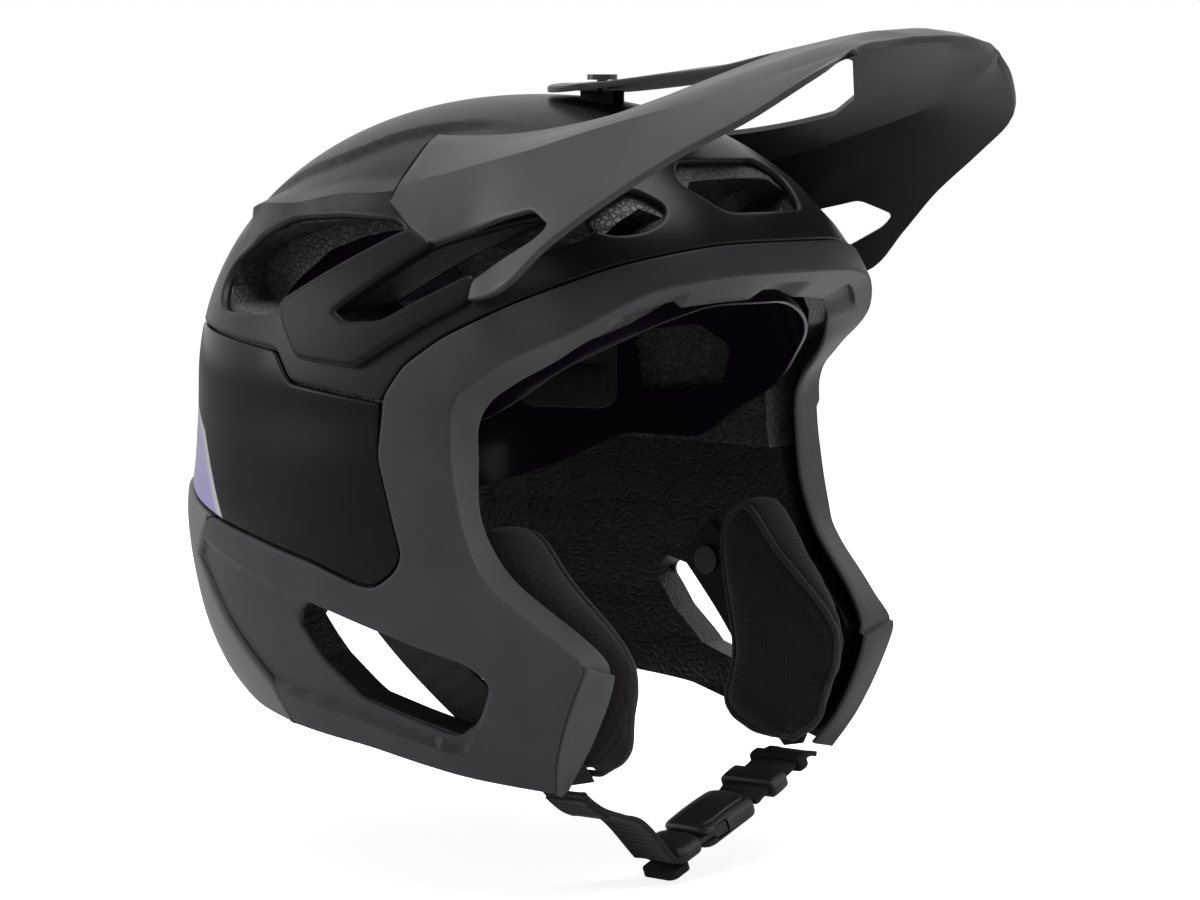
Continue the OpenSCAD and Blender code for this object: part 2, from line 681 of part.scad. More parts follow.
module cheek_pad(s) {
    ring = smooth(side(cheek_outline), 3);
    m = len(ring);
    // Share of the outline and share of the depth of each ring, from the middle of the back to that of the face
    rings = [[0.4, 0], [0.8, 0], [0.97, 0.06], [1, 0.35], [0.985, 0.62], [0.93, 0.84], [0.8, 0.97], [0.72, 0.93],
        [0.62, 1], [0.3, 1]];
    function at(p, r) =
        let (y = cheek_middle[0] + (p[0] - cheek_middle[0]) * r[0], z = cheek_middle[1] + (p[1] - cheek_middle[1]) * r[0],
            back = skirt_x(y, z, cheek_d), face = min(cheek_gap, back - 7))
        [back + (face - back) * r[1], y, z];
    points = concat([for (r = rings) for (p = ring) at(p, r)], [at(cheek_middle, [0, 0]), at(cheek_middle, [0, 1])]);
    back_end = len(rings) * m;
    faces = concat(
        [for (k = [0:len(rings) - 2]) for (i = [0:m - 1])
            let (a = k * m + i, b = k * m + (i + 1) % m) each [[a, b, b + m], [a, b + m, a + m]]],
        [for (i = [0:m - 1]) [back_end, (i + 1) % m, i]],
        [for (i = [0:m - 1]) [back_end + 1, (len(rings) - 1) * m + i, (len(rings) - 1) * m + (i + 1) % m]]);
    color("#211a19") mirror([s, 0, 0]) polyhedron(points, faces, convexity = 4);
}

module cheek_pad_left() { cheek_pad(0); }

module cheek_pad_right() { cheek_pad(1); }

// Snap buttons between the lower foam and the cheek pads
snap_places = side([[-48, -45], [-84, -78], [-64, -66]]);
snap_d = 9;

module pad_snaps(s) {
    color("#101010") mirror([s, 0, 0]) for (p = snap_places) {
        n = outward(plan_angle(p), p[1], jaw_in);
        foot = skirt_x(p[0], p[1], jaw_in);
        translate([foot, p[0], p[1]]) rotate([0, acos(n[2]), atan2(n[1], n[0])])
            translate([0, 0, -(cheek_d - jaw_in) * n[0] + fit])
                cylinder(d = snap_d, h = (cheek_d - jaw_in) * n[0] - 4 * fit, $fn = 32);
    }
}

// Plan angle of a side-view place on the lower foam
function plan_angle(p) =
    let (reach = station(front_reaches, p[1]) - jaw_in) acos(min(abs(p[0]) / reach, 1) ^ (plan_n / 2));

module pad_snaps_left() { pad_snaps(0); }

module pad_snaps_right() { pad_snaps(1); }

// Webbing from its rivet down the inside of the lower foam to the rim
rivet_d = 5;
rivet_head_d = 11;
rivet_place = side([[-6, -54]])[0];
strap_exit = side([[-69, -114.8]])[0];

// Turns +Z outward at the rivet
module at_rivet() {
    translate([skirt_x(rivet_place[0], rivet_place[1], jaw_in), rivet_place[0], rivet_place[1]]) rotate([0, 90, 0])
        children();
}

module strap_root(s) {
    run = strap_exit - rivet_place;
    side_way = [-run[1], run[0]] / norm(run) * strap_w / 2;
    start = rivet_place - run / norm(run) * strap_w * 0.6;
    turn = strap_exit - run * 0.2;
    color("#18181a") mirror([s, 0, 0]) difference() {
        intersection() {
            skin(jaw_in + fit, jaw_in + fit + strap_t);
            across([start + side_way, turn + side_way, strap_exit + [strap_w / 2, 0], strap_exit - [strap_w / 2, 0],
                turn - side_way, start - side_way], 10, far);
        }
        at_rivet() translate([0, 0, -jaw_in]) cylinder(d = rivet_d + 2 * fit, h = far, $fn = 24);
    }
}

module strap_root_left() { strap_root(0); }

module strap_root_right() { strap_root(1); }

module strap_rivets() {
    color("#6a6a6e") for (s = [0, 1]) mirror([s, 0, 0]) at_rivet() {
        translate([0, 0, -strap_t - rivet_head - 4 * fit]) cylinder(d = rivet_head_d, h = rivet_head, $fn = 32);
        translate([0, 0, -strap_t - rivet_head - 4 * fit])
            cylinder(d = rivet_d, h = jaw_foam_t + strap_t + rivet_head + 3 * fit, $fn = 24);
    }
}

// Turning axis of the right webbing at the rim, in line with the buckle
swing_at = place([-63, -67, -117]);
buckle_at = place([8, -70, -139.8]);
buckle_tilt = 21;
buckle_turn = atan2(buckle_at[1] - swing_at[1], buckle_at[0] - swing_at[0]);
buckle_way = [cos(buckle_turn) * cos(buckle_tilt), sin(buckle_turn) * cos(buckle_tilt), sin(buckle_tilt)];

// Middle lines of the free webbing, from the rim to the buckle
tip_z = fit_z(-117) - 3 * slide_fit;
right_line = [[swing_at[0], swing_at[1], tip_z], place([-60, -67.2, -121.5]), place([-53, -67.7, -125.7]),
    place([-43.5, -68.2, -129]), place([-33, -69, -133]), buckle_at - buckle_way * (buckle_l / 2 + 5)];
left_top = place([57.5, -71, -118.6]);
left_foot = place([33, -71.5, -129]);
left_line = [[-swing_at[0], fit_y(-71), tip_z], left_top, left_top + (left_foot - left_top) / 2, left_foot,
    buckle_at + buckle_way * (buckle_l / 2 + 5 * slide_fit),
    buckle_at + buckle_way * (buckle_l / 2 + slide_fit + fit)];

// Flat ribbon along a line, w wide and h thick, whose width lies nearly along Y, with a rounded first end
module ribbon(line, w, h, n = 3) {
    count = len(line) - 1;
    spine = concat([for (i = [0:count - 1]) for (k = [0:n - 1]) along(line, i, k / n)], [line[count]]);
    last = len(spine) - 1;
    function reach(i) = norm(spine[i] - spine[0]) / (w / 2);
    function share(i) = sqrt(1 - (1 - min(reach(i) + 0.04, 1)) ^ 2);
    function frame(i) =
        let (t = spine[min(i + 1, last)] - spine[max(i - 1, 0)], u = cross(t, [0, 1, 0]), v = cross(u, t))
        [u / norm(u) * h / 2, v / norm(v) * w / 2 * share(i)];
    points = [for (i = [0:last]) let (f = frame(i), p = spine[i])
        each [p - f[0] - f[1], p - f[0] + f[1], p + f[0] + f[1], p + f[0] - f[1]]];
    faces = concat([[0, 1, 2], [0, 2, 3]],
        [for (i = [0:last - 1]) for (k = [0:3])
            let (a = 4 * i + k, b = 4 * i + (k + 1) % 4) each [[a, b + 4, b], [a, a + 4, b + 4]]],
        [[4 * last, 4 * last + 2, 4 * last + 1], [4 * last, 4 * last + 3, 4 * last + 2]]);
    polyhedron(points, faces, convexity = 4);
}

module chin_strap_left() { color("#18181a") ribbon(left_line, strap_w, strap_t); }

module chin_strap_right() { color("#18181a") ribbon(right_line, strap_w, strap_t); }

// Turns +X along the buckle, with the origin at its middle
module at_buckle() {
    translate(buckle_at) rotate([0, -buckle_tilt, buckle_turn]) children();
}

// Block with round upright corners
module round_block(x0, x1, w, z0, z1, r) {
    translate([0, 0, z0]) linear_extrude(z1 - z0) hull() for (x = [x0 + r, x1 - r]) for (y = [-w / 2 + r, w / 2 - r])
        translate([x, y]) circle(r = r, $fn = 32);
}

// T-shaped channel across the buckle, curved about the right webbing's axis, so that the tongue swings out of it
mouth_x = -buckle_l / 2 + 12;
neck_l = 5;
neck_t = 3;
head_l = 7;
head_t = 5.4;
module tee(gap) {
    swing_r = norm([buckle_at[0] - swing_at[0], buckle_at[1] - swing_at[1]]);
    translate([swing_at[0], swing_at[1], 0]) rotate([0, 0, buckle_turn - 30]) rotate_extrude(angle = 60, $fn = 120)
        translate([swing_r, buckle_at[2]]) rotate(buckle_tilt) {
            translate([mouth_x - 6, gap - neck_t / 2]) square([neck_l + 7 + gap, neck_t - 2 * gap]);
            translate([mouth_x + neck_l + gap, gap - head_t / 2]) square([head_l - 2 * gap, head_t - 2 * gap]);
        }
}

magnet_x = buckle_l / 2 - 11;
magnet_h = 1.3;

module buckle_housing() {
    color("#141415") difference() {
        at_buckle() round_block(mouth_x, buckle_l / 2, buckle_w, -buckle_h / 2, buckle_h / 2, 4);
        tee(0);
        at_buckle() translate([magnet_x, 0, -buckle_h / 2 - 1])
            cylinder(d = magnet_d + fit, h = 1 + magnet_h + fit, $fn = 32);
    }
}

// Flat tongue whose block clears the housing as it swings
module buckle_tongue() {
    block_w = buckle_w - 2;
    color("#17171a") {
        intersection() {
            tee(slide_fit);
            at_buckle() translate([mouth_x - 4, -block_w / 2, -buckle_h]) cube([buckle_l, block_w, 2 * buckle_h]);
        }
        at_buckle() round_block(-buckle_l / 2 - 3, mouth_x - 3 * slide_fit, block_w, 1 - buckle_h / 2,
            buckle_h / 2 - 1, 4);
    }
}

module buckle_magnet() {
    color("#9a9aa0") at_buckle() translate([magnet_x, 0, -buckle_h / 2]) cylinder(d = magnet_d, h = magnet_h, $fn = 32);
}

// Finger tab under the tongue's outer end
module pull_tab() {
    tab_t = 3;
    color("#202022") at_buckle() translate([0, 0, 1 - buckle_h / 2 - fit - tab_t])
        round_block(-buckle_l / 2 - 7, -buckle_l / 2 + 4, buckle_w - 8, 0, tab_t, 3);
}

// Place of a share of the straight stretch of the left webbing, with +X along it
module on_strap(share) {
    way = left_foot - left_top;
    translate(left_top + way * share)
        rotate([0, -atan2(way[2], norm([way[0], way[1]])), atan2(way[1], way[0])]) children();
}

module strap_frame(l, wall) {
    difference() {
        translate([-l / 2, -strap_w / 2 - wall, -strap_t / 2 - wall])
            cube([l, strap_w + 2 * wall, strap_t + 2 * wall]);
        translate([-l, -strap_w / 2 - slide_fit, -strap_t / 2 - slide_fit])
            cube([2 * l, strap_w + 2 * slide_fit, strap_t + 2 * slide_fit]);
    }
}

module strap_slider() { color("#101011") on_strap(0.8) strap_frame(9, 2.2); }

module strap_keeper() { color("#1d1d1f") on_strap(0.2) strap_frame(5, 1.6); }

crown_shell();
side_shell();
lower_frame();
rear_bumper();
side_plate_left();
side_plate_right();
visor();
visor_screw();
visor_seat();
visor_sockets();
foam_upper_left();
foam_upper_right();
foam_lower();
slip_liner();
liner_anchors();
brow_pad();
crown_pad();
temple_pad_left();
temple_pad_right();
nape_pad();
cheek_pad_left();
cheek_pad_right();
pad_snaps_left();
pad_snaps_right();
strap_root_left();
strap_root_right();
strap_rivets();
chin_strap_left();
chin_strap_right();
buckle_housing();
buckle_tongue();
buckle_magnet();
strap_slider();
strap_keeper();
pull_tab();
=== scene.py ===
"""Mountain bike helmet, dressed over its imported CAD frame. Shapes are worked out in millimetres."""
import math
import bpy
import numpy as np
from types import SimpleNamespace
from mathutils import Matrix, Vector
from mathutils.geometry import delaunay_2d_cdt
from mathutils.kdtree import KDTree


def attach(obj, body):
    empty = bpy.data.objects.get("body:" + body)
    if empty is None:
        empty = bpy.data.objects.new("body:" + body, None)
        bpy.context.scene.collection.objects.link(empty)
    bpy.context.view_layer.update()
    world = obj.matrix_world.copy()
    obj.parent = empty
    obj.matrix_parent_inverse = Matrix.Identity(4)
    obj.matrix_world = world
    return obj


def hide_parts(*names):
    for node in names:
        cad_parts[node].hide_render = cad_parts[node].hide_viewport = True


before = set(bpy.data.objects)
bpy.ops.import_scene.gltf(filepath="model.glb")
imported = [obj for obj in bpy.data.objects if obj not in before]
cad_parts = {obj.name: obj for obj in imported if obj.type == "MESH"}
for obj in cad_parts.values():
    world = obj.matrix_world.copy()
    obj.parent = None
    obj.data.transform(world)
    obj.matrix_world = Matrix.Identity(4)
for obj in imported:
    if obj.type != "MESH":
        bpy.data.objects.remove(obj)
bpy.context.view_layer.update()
MM = 0.001
PI = math.pi
SIDES = (("left", 1), ("right", -1))
FLIP = np.array([-1.0, 1, 1])

# ---- materials


class Shader:
    """Node tree of a material or world. A call adds one node, sets or links its inputs, and gives an output."""

    def __init__(self, owner):
        owner.use_nodes = True
        self.nodes, self.links = owner.node_tree.nodes, owner.node_tree.links

    def set(self, node, values):
        for key, value in values.items():
            if isinstance(value, bpy.types.NodeSocket):
                self.links.new(value, node.inputs[key])
            else:
                node.inputs[key].default_value = value

    def add(self, kind, values, out=0, **settings):
        node = self.nodes.new("ShaderNode" + kind)
        for key, value in settings.items():
            setattr(node, key, value)
        self.set(node, values)
        return node.outputs[out]

    def math(self, operation, *values):
        return self.add("Math", dict(enumerate(values)), operation=operation)

    def mix(self, share, a, b):
        a, b = (v if isinstance(v, bpy.types.NodeSocket) else (*v, 1) for v in (a, b))
        return self.add("Mix", {0: share, 6: a, 7: b}, 2, data_type="RGBA")

    def body(self, values):
        self.set(self.nodes["Principled BSDF"], values)

    def bump(self, height, strength, depth=0.0004):
        return self.add("Bump", {"Strength": strength, "Distance": depth, "Height": height})


def new_shader(name):
    m = bpy.data.materials.new(name)
    s = Shader(m)
    return m, s, s.add("TexCoord", {}, "Object")


def principled(name, base, rough, spec, coat=0.0, grain=1400.0, bump=0.03, metallic=0.0, rough_vary=0.06, tint=None):
    """Moulded surface: broad tone changes, fine grain in bump and roughness."""
    m, s, place = new_shader(name)
    color = s.add("ValToRGB", {"Fac": s.add("TexNoise", {"Scale": 28.0, "Detail": 5.0, "Vector": place})})
    for stop, at, share in zip(color.node.color_ramp.elements, (0.3, 0.7), (0.86, 1.14)):
        stop.position = at
        stop.color = [c * share for c in base] + [1]
    if tint:
        color = s.mix(s.add("TexNoise", {"Scale": 9.0, "Detail": 2.0, "Vector": place}), color, tint)
    fine = s.add("TexNoise", {"Scale": grain, "Detail": 3.0, "Vector": place})
    spread = s.add("MapRange", {"To Min": rough - rough_vary, "To Max": rough + rough_vary, "Value": fine})
    s.body({"Metallic": metallic, "Specular IOR Level": spec, "Coat Weight": coat, "Coat Roughness": 0.1,
            "Base Color": color, "Roughness": spread, "Normal": s.bump(fine, bump)})
    return m


def beads(name, base, light, size, strength):
    """Moulded bead foam: cells with dark joints between them."""
    m, s, place = new_shader(name)
    cells = s.add("TexVoronoi", {"Scale": 1000 / size, "Vector": place}, "Color")
    edge = s.add("TexVoronoi", {"Scale": 1000 / size, "Vector": place}, "Distance", feature="DISTANCE_TO_EDGE")
    joint = s.add("MapRange", {"From Max": 0.16, "Value": edge})
    tone = s.mix(joint, [c * 0.45 for c in base], light)
    s.body({"Specular IOR Level": 0.35, "Base Color": s.mix(cells, base, tone), "Roughness": 0.5,
            "Normal": s.bump(joint, strength, 0.0006)})
    return m


def weave(name, base, light, pitch, sheen, strength=0.5):
    """Knitted cloth: crossed waves with a soft fuzz over them."""
    m, s, place = new_shader(name)
    thread = {"Scale": 1000 / pitch / 20 * 3.1, "Distortion": 0.6, "Detail": 1.0, "Vector": place}
    x, y, z = (s.add("TexWave", thread, "Fac", bands_direction=way) for way in "XYZ")
    total = s.math("MULTIPLY_ADD", s.math("ADD", y, z), 0.33, s.math("MULTIPLY", x, 0.33))
    both = s.add("Mix", {0: 0.2, 2: total, 3: s.add("TexNoise", {"Scale": 260, "Detail": 6, "Vector": place})})
    s.body({"Roughness": 0.85, "Specular IOR Level": 0.15, "Sheen Weight": sheen, "Sheen Roughness": 0.5,
            "Base Color": s.mix(both, base, light), "Normal": s.bump(both, strength)})
    return m


MAT = {
    "crown": principled("crown_satin", (0.009, 0.009, 0.010), 0.36, spec=0.13),
    "side": principled("side_gloss", (0.006, 0.006, 0.007), 0.22, spec=0.09, bump=0.015, rough_vary=0.03),
    "frame": principled("frame_matte", (0.048, 0.048, 0.052), 0.48, spec=0.10),
    # Painted light: the flange is the frame's matte grey, painted lighter to stand in for the floor's light on the
    # brow's underside.
    "flange": principled("flange_matte_painted_light", (0.068, 0.067, 0.071), 0.44, spec=0.14),
    # Painted light: the bumper is the frame's matte grey, painted much lighter to stand in for the rear lamp's light
    # and the white surroundings on its rear-facing faces.
    "bumper": principled("bumper_matte_painted_light", (0.13, 0.13, 0.132), 0.52, spec=0.2),
    "plate": principled("plate_satin", (0.007, 0.007, 0.008), 0.36, spec=0.09),
    "visor": principled("visor_satin", (0.030, 0.030, 0.032), 0.42, spec=0.34),
    "screw": principled("screw_black", (0.012, 0.012, 0.013), 0.3, spec=0.5, grain=700),
    "rubber": principled("soft_rubber", (0.012, 0.012, 0.013), 0.7, spec=0.15, bump=0.08, grain=900),
    "foam": beads("bead_foam", (0.020, 0.019, 0.019), (0.062, 0.058, 0.056), size=2.5, strength=0.45),
    "foam_dark": beads("bead_foam_dark", (0.005, 0.005, 0.0055), (0.012, 0.011, 0.012), size=3.2, strength=0.35),
    "liner": principled("liner_gloss", (0.006, 0.005, 0.007), 0.16, spec=0.16, coat=0.1, tint=(0.012, 0.005, 0.017),
                        grain=500, bump=0.01),
    "pad": weave("pad_cloth", (0.007, 0.006, 0.006), (0.022, 0.018, 0.020), pitch=1.1, sheen=0.12),
    "cheek": weave("cheek_cloth", (0.006, 0.005, 0.0055), (0.021, 0.017, 0.019), pitch=1.0, sheen=0.15),
    "piping": weave("piping_cloth", (0.016, 0.014, 0.015), (0.046, 0.041, 0.043), pitch=0.8, sheen=0.2),
    "snap": principled("snap_plastic", (0.010, 0.010, 0.011), 0.35, spec=0.3),
    "webbing": weave("webbing_cloth", (0.008, 0.008, 0.009), (0.028, 0.028, 0.030), pitch=1.0, sheen=0.08,
                     strength=0.6),
    "thread": principled("sewing_thread", (0.05, 0.05, 0.053), 0.7, spec=0.2, bump=0.2, grain=2600),
    "steel": principled("rivet_steel", (0.035, 0.035, 0.038), 0.4, spec=0.5, metallic=0.7, grain=500),
    "buckle": principled("buckle_plastic", (0.022, 0.022, 0.024), 0.4, spec=0.3, grain=1000, bump=0.05),
    "magnet": principled("magnet_metal", (0.45, 0.45, 0.48), 0.25, spec=0.5, metallic=1.0, grain=400),
}


def two_tone(m, pale, tone):
    """Plain block of a second colour at the rear of the side shell, behind a pale stripe."""
    s = Shader(m)
    color = s.nodes["Principled BSDF"].inputs["Base Color"].links[0].from_socket
    split = s.add("SeparateXYZ", {0: s.add("TexCoord", {}, "Object")}).node
    y, z = split.outputs["Y"], split.outputs["Z"]
    corner_y, corner_z = 0.0884, 0.0021
    below = []
    for slope, across in ((1.44, 0.570), (0.57, 0.869)):
        line_z = s.math("MULTIPLY_ADD", y, slope, corner_z - slope * corner_y)
        below.append(s.math("MULTIPLY", s.math("SUBTRACT", line_z, z), across))
    least = s.math("MINIMUM", *below)
    fade = s.add("MapRange", {"From Min": -0.034, "From Max": 0.004, "Value": z})
    field = s.mix(fade, tone, [0.5 * c + 0.5 * d for c, d in zip(tone, pale)])
    for low, high, paint in ((0.0, 0.0002, pale), (0.0035, 0.0038, field)):
        color = s.mix(s.add("MapRange", {"From Min": low, "From Max": high, "Value": least}), color, paint)
    s.body({"Base Color": color})


two_tone(MAT["side"], (0.50, 0.50, 0.53), (0.33, 0.29, 0.58))

# ---- the shell's surface

LEVELS = np.array([-118.0, -102, -80, -61, -32, -6, 18])
HALF = np.array([89.0, 98, 105, 108, 109.5, 109, 108])
FRONT = np.array([136.0, 147, 152, 151, 144, 138, 135])
REAR = np.array([84.0, 106, 125, 135, 142, 139, 138])
BROW, DOME, DROP, N_PLAN, N_DOME = 18.0, 107.5, 136.0, 2.15, 2.1


def span(stops, v):
    """Index of the stop at or before each value."""
    return np.clip(np.searchsorted(stops, v, side="right") - 1, 0, len(stops) - 2)


def station(v, z):
    """Width or reach at a level, smooth through the values at LEVELS."""
    slope = np.zeros(len(v))
    slope[0] = (v[1] - v[0]) / (LEVELS[1] - LEVELS[0])
    slope[1:-1] = (v[2:] - v[:-2]) / (LEVELS[2:] - LEVELS[:-2])
    z = np.clip(z, LEVELS[0], LEVELS[-1])
    i = span(LEVELS, z)
    h = LEVELS[i + 1] - LEVELS[i]
    t = (z - LEVELS[i]) / h
    return ((2 * t**3 - 3 * t**2 + 1) * v[i] + (t**3 - 2 * t**2 + t) * h * slope[i] + (3 * t**2 - 2 * t**3) * v[i + 1]
            + (t**3 - t**2) * h * slope[i + 1])


def reach_at(y, z):
    return np.where(y < 0, station(FRONT, z), station(REAR, z))


def spow(v, p):
    return np.sign(v) * np.abs(v) ** p


def unit(v):
    return v / np.maximum(np.linalg.norm(v, axis=-1, keepdims=True), 1e-9)


def smoothstep(v):
    v = np.clip(v, 0, 1)
    return v * v * (3 - 2 * v)


def catmull(a, b, c, d, t):
    """Point between b and c on a smooth curve through a, b, c, d."""
    return 0.5 * (2 * b + (c - a) * t + (2 * a - 5 * b + 4 * c - d) * t**2 + (3 * b - a - 3 * c + d) * t**3)


def shell(t, m, d=0.0):
    """Point at plan angle t (0 ahead, +x side positive), meridian share m (0 top, 1 brow level, 2 rim), d inside."""
    t, m, d = np.broadcast_arrays(np.asarray(t, float), np.asarray(m, float), np.asarray(d, float))
    e = np.clip(1 - m, 0, 1) * PI / 2
    z = np.where(m < 1, BROW + (DOME - d) * np.abs(np.sin(e)) ** (2 / N_DOME), BROW - (m - 1) * DROP)
    k = np.where(m < 1, np.abs(np.cos(e)) ** (2 / N_DOME), 1.0)
    x = (station(HALF, z) - d) * k * spow(np.sin(t), 2 / N_PLAN)
    return np.stack([x, -(reach_at(-np.cos(t), z) - d) * k * spow(np.cos(t), 2 / N_PLAN), z], -1)


M_TAB = np.linspace(0.0, 2.0, 2401)
_front, _side, _rear = (shell(a, M_TAB) for a in (0.0, PI / 2, PI))
R_TAB = (np.abs(_front[:, 1]) + 2 * _side[:, 0] + np.abs(_rear[:, 1])) / 4
S_TAB = np.concatenate([[0], np.cumsum(np.hypot(np.diff(R_TAB), np.diff(_side[:, 2])))])
_grow = np.concatenate([[0, 0], np.cumsum(np.diff(S_TAB)[1:] / ((R_TAB[2:] + R_TAB[1:-1]) / 2))])
RHO = R_TAB[1] * np.exp(_grow)
RHO[0] = 0.0


def to_domain(t, m):
    r = np.interp(m, M_TAB, RHO)
    return np.stack([r * np.sin(t), -r * np.cos(t)], -1)


def from_domain(p):
    r = np.hypot(p[:, 0], p[:, 1])
    return np.arctan2(p[:, 0], -p[:, 1]), np.interp(r, RHO, M_TAB)


def scale_at(p):
    """Domain units per real millimetre."""
    r = np.hypot(p[:, 0], p[:, 1])
    return np.maximum(r, 1) / np.maximum(np.interp(r, RHO, R_TAB), 0.8)


def meridian(z, d):
    """Meridian share of a level, and how far the shell's section has shrunk there."""
    e = np.arcsin(np.clip((z - BROW) / (DOME - d), 0, 1) ** (N_DOME / 2))
    return np.where(z > BROW, 1 - e / (PI / 2), 1 + (BROW - z) / DROP), np.cos(e) ** (2 / N_DOME)


def side_angles(y, z, d=0.0):
    m, k = meridian(z, d)
    c = np.abs(y) / np.maximum((reach_at(y, z) - d) * k, 1e-6)
    a = np.arccos(np.clip(c, 0, 1) ** (N_PLAN / 2))
    return np.where(y < 0, a, PI - a), m, c


def front_angles(x, z, rear):
    m, k = meridian(z, 0.0)
    a = np.arcsin(np.clip(np.abs(x) / (station(HALF, z) * k), 0, 1) ** (N_PLAN / 2))
    return np.sign(x) * (PI - a if rear else a), m


def skirt_x(y, z, d=0.0):
    return (station(HALF, z) - d) * (1 - np.minimum(np.abs(y) / (reach_at(y, z) - d), 1) ** N_PLAN) ** (1 / N_PLAN)


# ---- outlines


def soften(points, r, closed=False, n=5):
    """Corners rounded by a curve that starts r before and ends r behind each."""
    p = np.asarray(points, float)
    out = []
    count = len(p)
    for i in range(count):
        if not closed and i in (0, count - 1):
            out.append(p[i])
            continue
        a, b, c = p[i - 1], p[i], p[(i + 1) % count]
        la, lc = np.linalg.norm(a - b), np.linalg.norm(c - b)
        cut = min(r, 0.45 * la, 0.45 * lc)
        u, v = b + (a - b) / la * cut, b + (c - b) / lc * cut
        for k in range(n + 1):
            t = k / n
            out.append((1 - t) ** 2 * u + 2 * t * (1 - t) * b + t * t * v)
    return np.array(out)


def dense(p, step=0.5, closed=False):
    p = np.asarray(p, float)
    q = np.concatenate([p, p[:1]]) if closed else p
    out = []
    for a, b in zip(q[:-1], q[1:]):
        n = max(1, int(math.ceil(np.linalg.norm(b - a) / step)))
        out += [a + (b - a) * k / n for k in range(n)]
    if not closed:
        out.append(q[-1])
    return np.array(out)


def thin(p, scale, longest=2.2, turn=0.16, closed=False):
    """Keeps a fine line's points where it turns, or at most longest millimetres apart."""
    keep = [0]
    angle = 0.0
    for i in range(1, len(p) - (0 if closed else 1)):
        a, b, c = p[i - 1], p[i], p[(i + 1) % len(p)]
        u, v = b - a, c - b
        angle += abs(math.atan2(u[0] * v[1] - u[1] * v[0], u[0] * v[0] + u[1] * v[1]))
        far = np.linalg.norm(b - p[keep[-1]]) / scale[i]
        if far >= longest or (angle > turn and far > 0.45):
            keep.append(i)
            angle = 0.0
    if not closed:
        keep.append(len(p) - 1)
    elif np.linalg.norm(p[keep[-1]] - p[0]) / scale[0] < 0.4:
        keep.pop()
    return p[keep]


def side_line(points, r=3.0, d=0.0, step=0.3):
    """Domain line on the +x side of a side-view line, cut off at the middle of the helmet."""
    p = dense(soften(points, r), step)
    t, m, c = side_angles(p[:, 0], p[:, 1], d)
    ok = np.where(c < 1)[0]
    first, last = ok[0], ok[-1]
    parts = [to_domain(t[first:last + 1], m[first:last + 1])]
    for end, place, cut_off in ((first, 0, first > 0), (last, 2, last < len(p) - 1)):
        if cut_off:
            parts.insert(place, to_domain(np.array([0.0 if p[end, 0] < 0 else PI]), m[end:end + 1]))
    q = np.concatenate(parts)
    q[np.abs(q[:, 0]) < 1e-6, 0] = 0.0
    return q


def side_loop(points, r=3.0, d=0.0, step=0.3):
    p = dense(soften(points, r, True), step, True)
    t, m, _ = side_angles(p[:, 0], p[:, 1], d)
    return to_domain(t, m)


def front_loop(points, r=3.0, rear=False):
    p = dense(soften(points, r, True), 0.3, True)
    t, m = front_angles(p[:, 0], p[:, 1], rear)
    return to_domain(t, m)


def mirrored(p):
    return p * np.array([-1.0, 1.0])


def both(*lines):
    """Each line and its mirror image."""
    return [k for line in lines for k in (line, mirrored(line))]


def whole(half):
    """Closed loop from a line on the +x side whose two ends lie in the middle."""
    return np.concatenate([half, mirrored(half)[::-1][1:-1]])


def area(p):
    q = np.roll(p, -1, 0)
    return 0.5 * np.sum(p[:, 0] * q[:, 1] - q[:, 0] * p[:, 1])


def inside(points, loops):
    """Even-odd test of domain points against closed loops."""
    hit = np.zeros(len(points), bool)
    x, y = points[:, 0], points[:, 1]
    for loop in loops:
        nxt = np.roll(loop, -1, 0)
        for i in range(0, len(loop), 400):
            x1, y1 = loop[i:i + 400, 0][None], loop[i:i + 400, 1][None]
            x2, y2 = nxt[i:i + 400, 0][None], nxt[i:i + 400, 1][None]
            cross = (y1 > y[:, None]) != (y2 > y[:, None])
            at = x1 + (y[:, None] - y1) * (x2 - x1) / np.where(y2 == y1, 1e-12, y2 - y1)
            hit ^= (np.sum(cross & (x[:, None] < at), 1) % 2).astype(bool)
    return hit


def distance(points, line):
    """Distance of domain points to a line."""
    best = np.full(len(points), 1e9)
    for a, b in zip(line[:-1], line[1:]):
        ab = b - a
        t = np.clip(((points - a) @ ab) / max(ab @ ab, 1e-12), 0, 1)
        best = np.minimum(best, np.linalg.norm(points - (a + t[:, None] * ab), axis=1))
    return best


def real_distance(points, line):
    return distance(points, line) / scale_at(points)


# ---- meshes


def coords(mesh):
    return np.array([v.co for v in mesh.vertices])


def face_out(mesh):
    """Faces turned outward, by the sign of the mesh's volume."""
    mesh.calc_loop_triangles()
    co, tri = coords(mesh), np.array([t.vertices for t in mesh.loop_triangles])
    if np.sum(co[tri[:, 0]] * np.cross(co[tri[:, 1]], co[tri[:, 2]])) < 0:
        mesh.flip_normals()


def linked(name, data, body=None):
    """New object in the scene, riding on a body."""
    obj = bpy.data.objects.new(name, data)
    bpy.context.scene.collection.objects.link(obj)
    if body:
        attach(obj, body)
    return obj


def make(name, verts, faces, material, body, sharp):
    mesh = bpy.data.meshes.new(name)
    mesh.from_pydata([tuple(float(c) * MM for c in v) for v in verts], [], [tuple(int(i) for i in f) for f in faces])
    mesh.validate()
    mesh.update()
    mesh.materials.append(MAT[material])
    mesh.shade_smooth()
    mesh.set_sharp_from_angle(angle=math.radians(sharp))
    obj = linked(name, mesh, body)
    face_out(mesh)
    return obj


def stands(piece, slot, *nodes):
    """Hides the CAD nodes that a piece stands for, and gives the piece back. slot is not used."""
    if nodes:
        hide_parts(*nodes)
    return piece


def tree_of(points):
    tree = KDTree(len(points))
    for i, q in enumerate(points):
        tree.insert(q, i)
    tree.balance()
    return tree


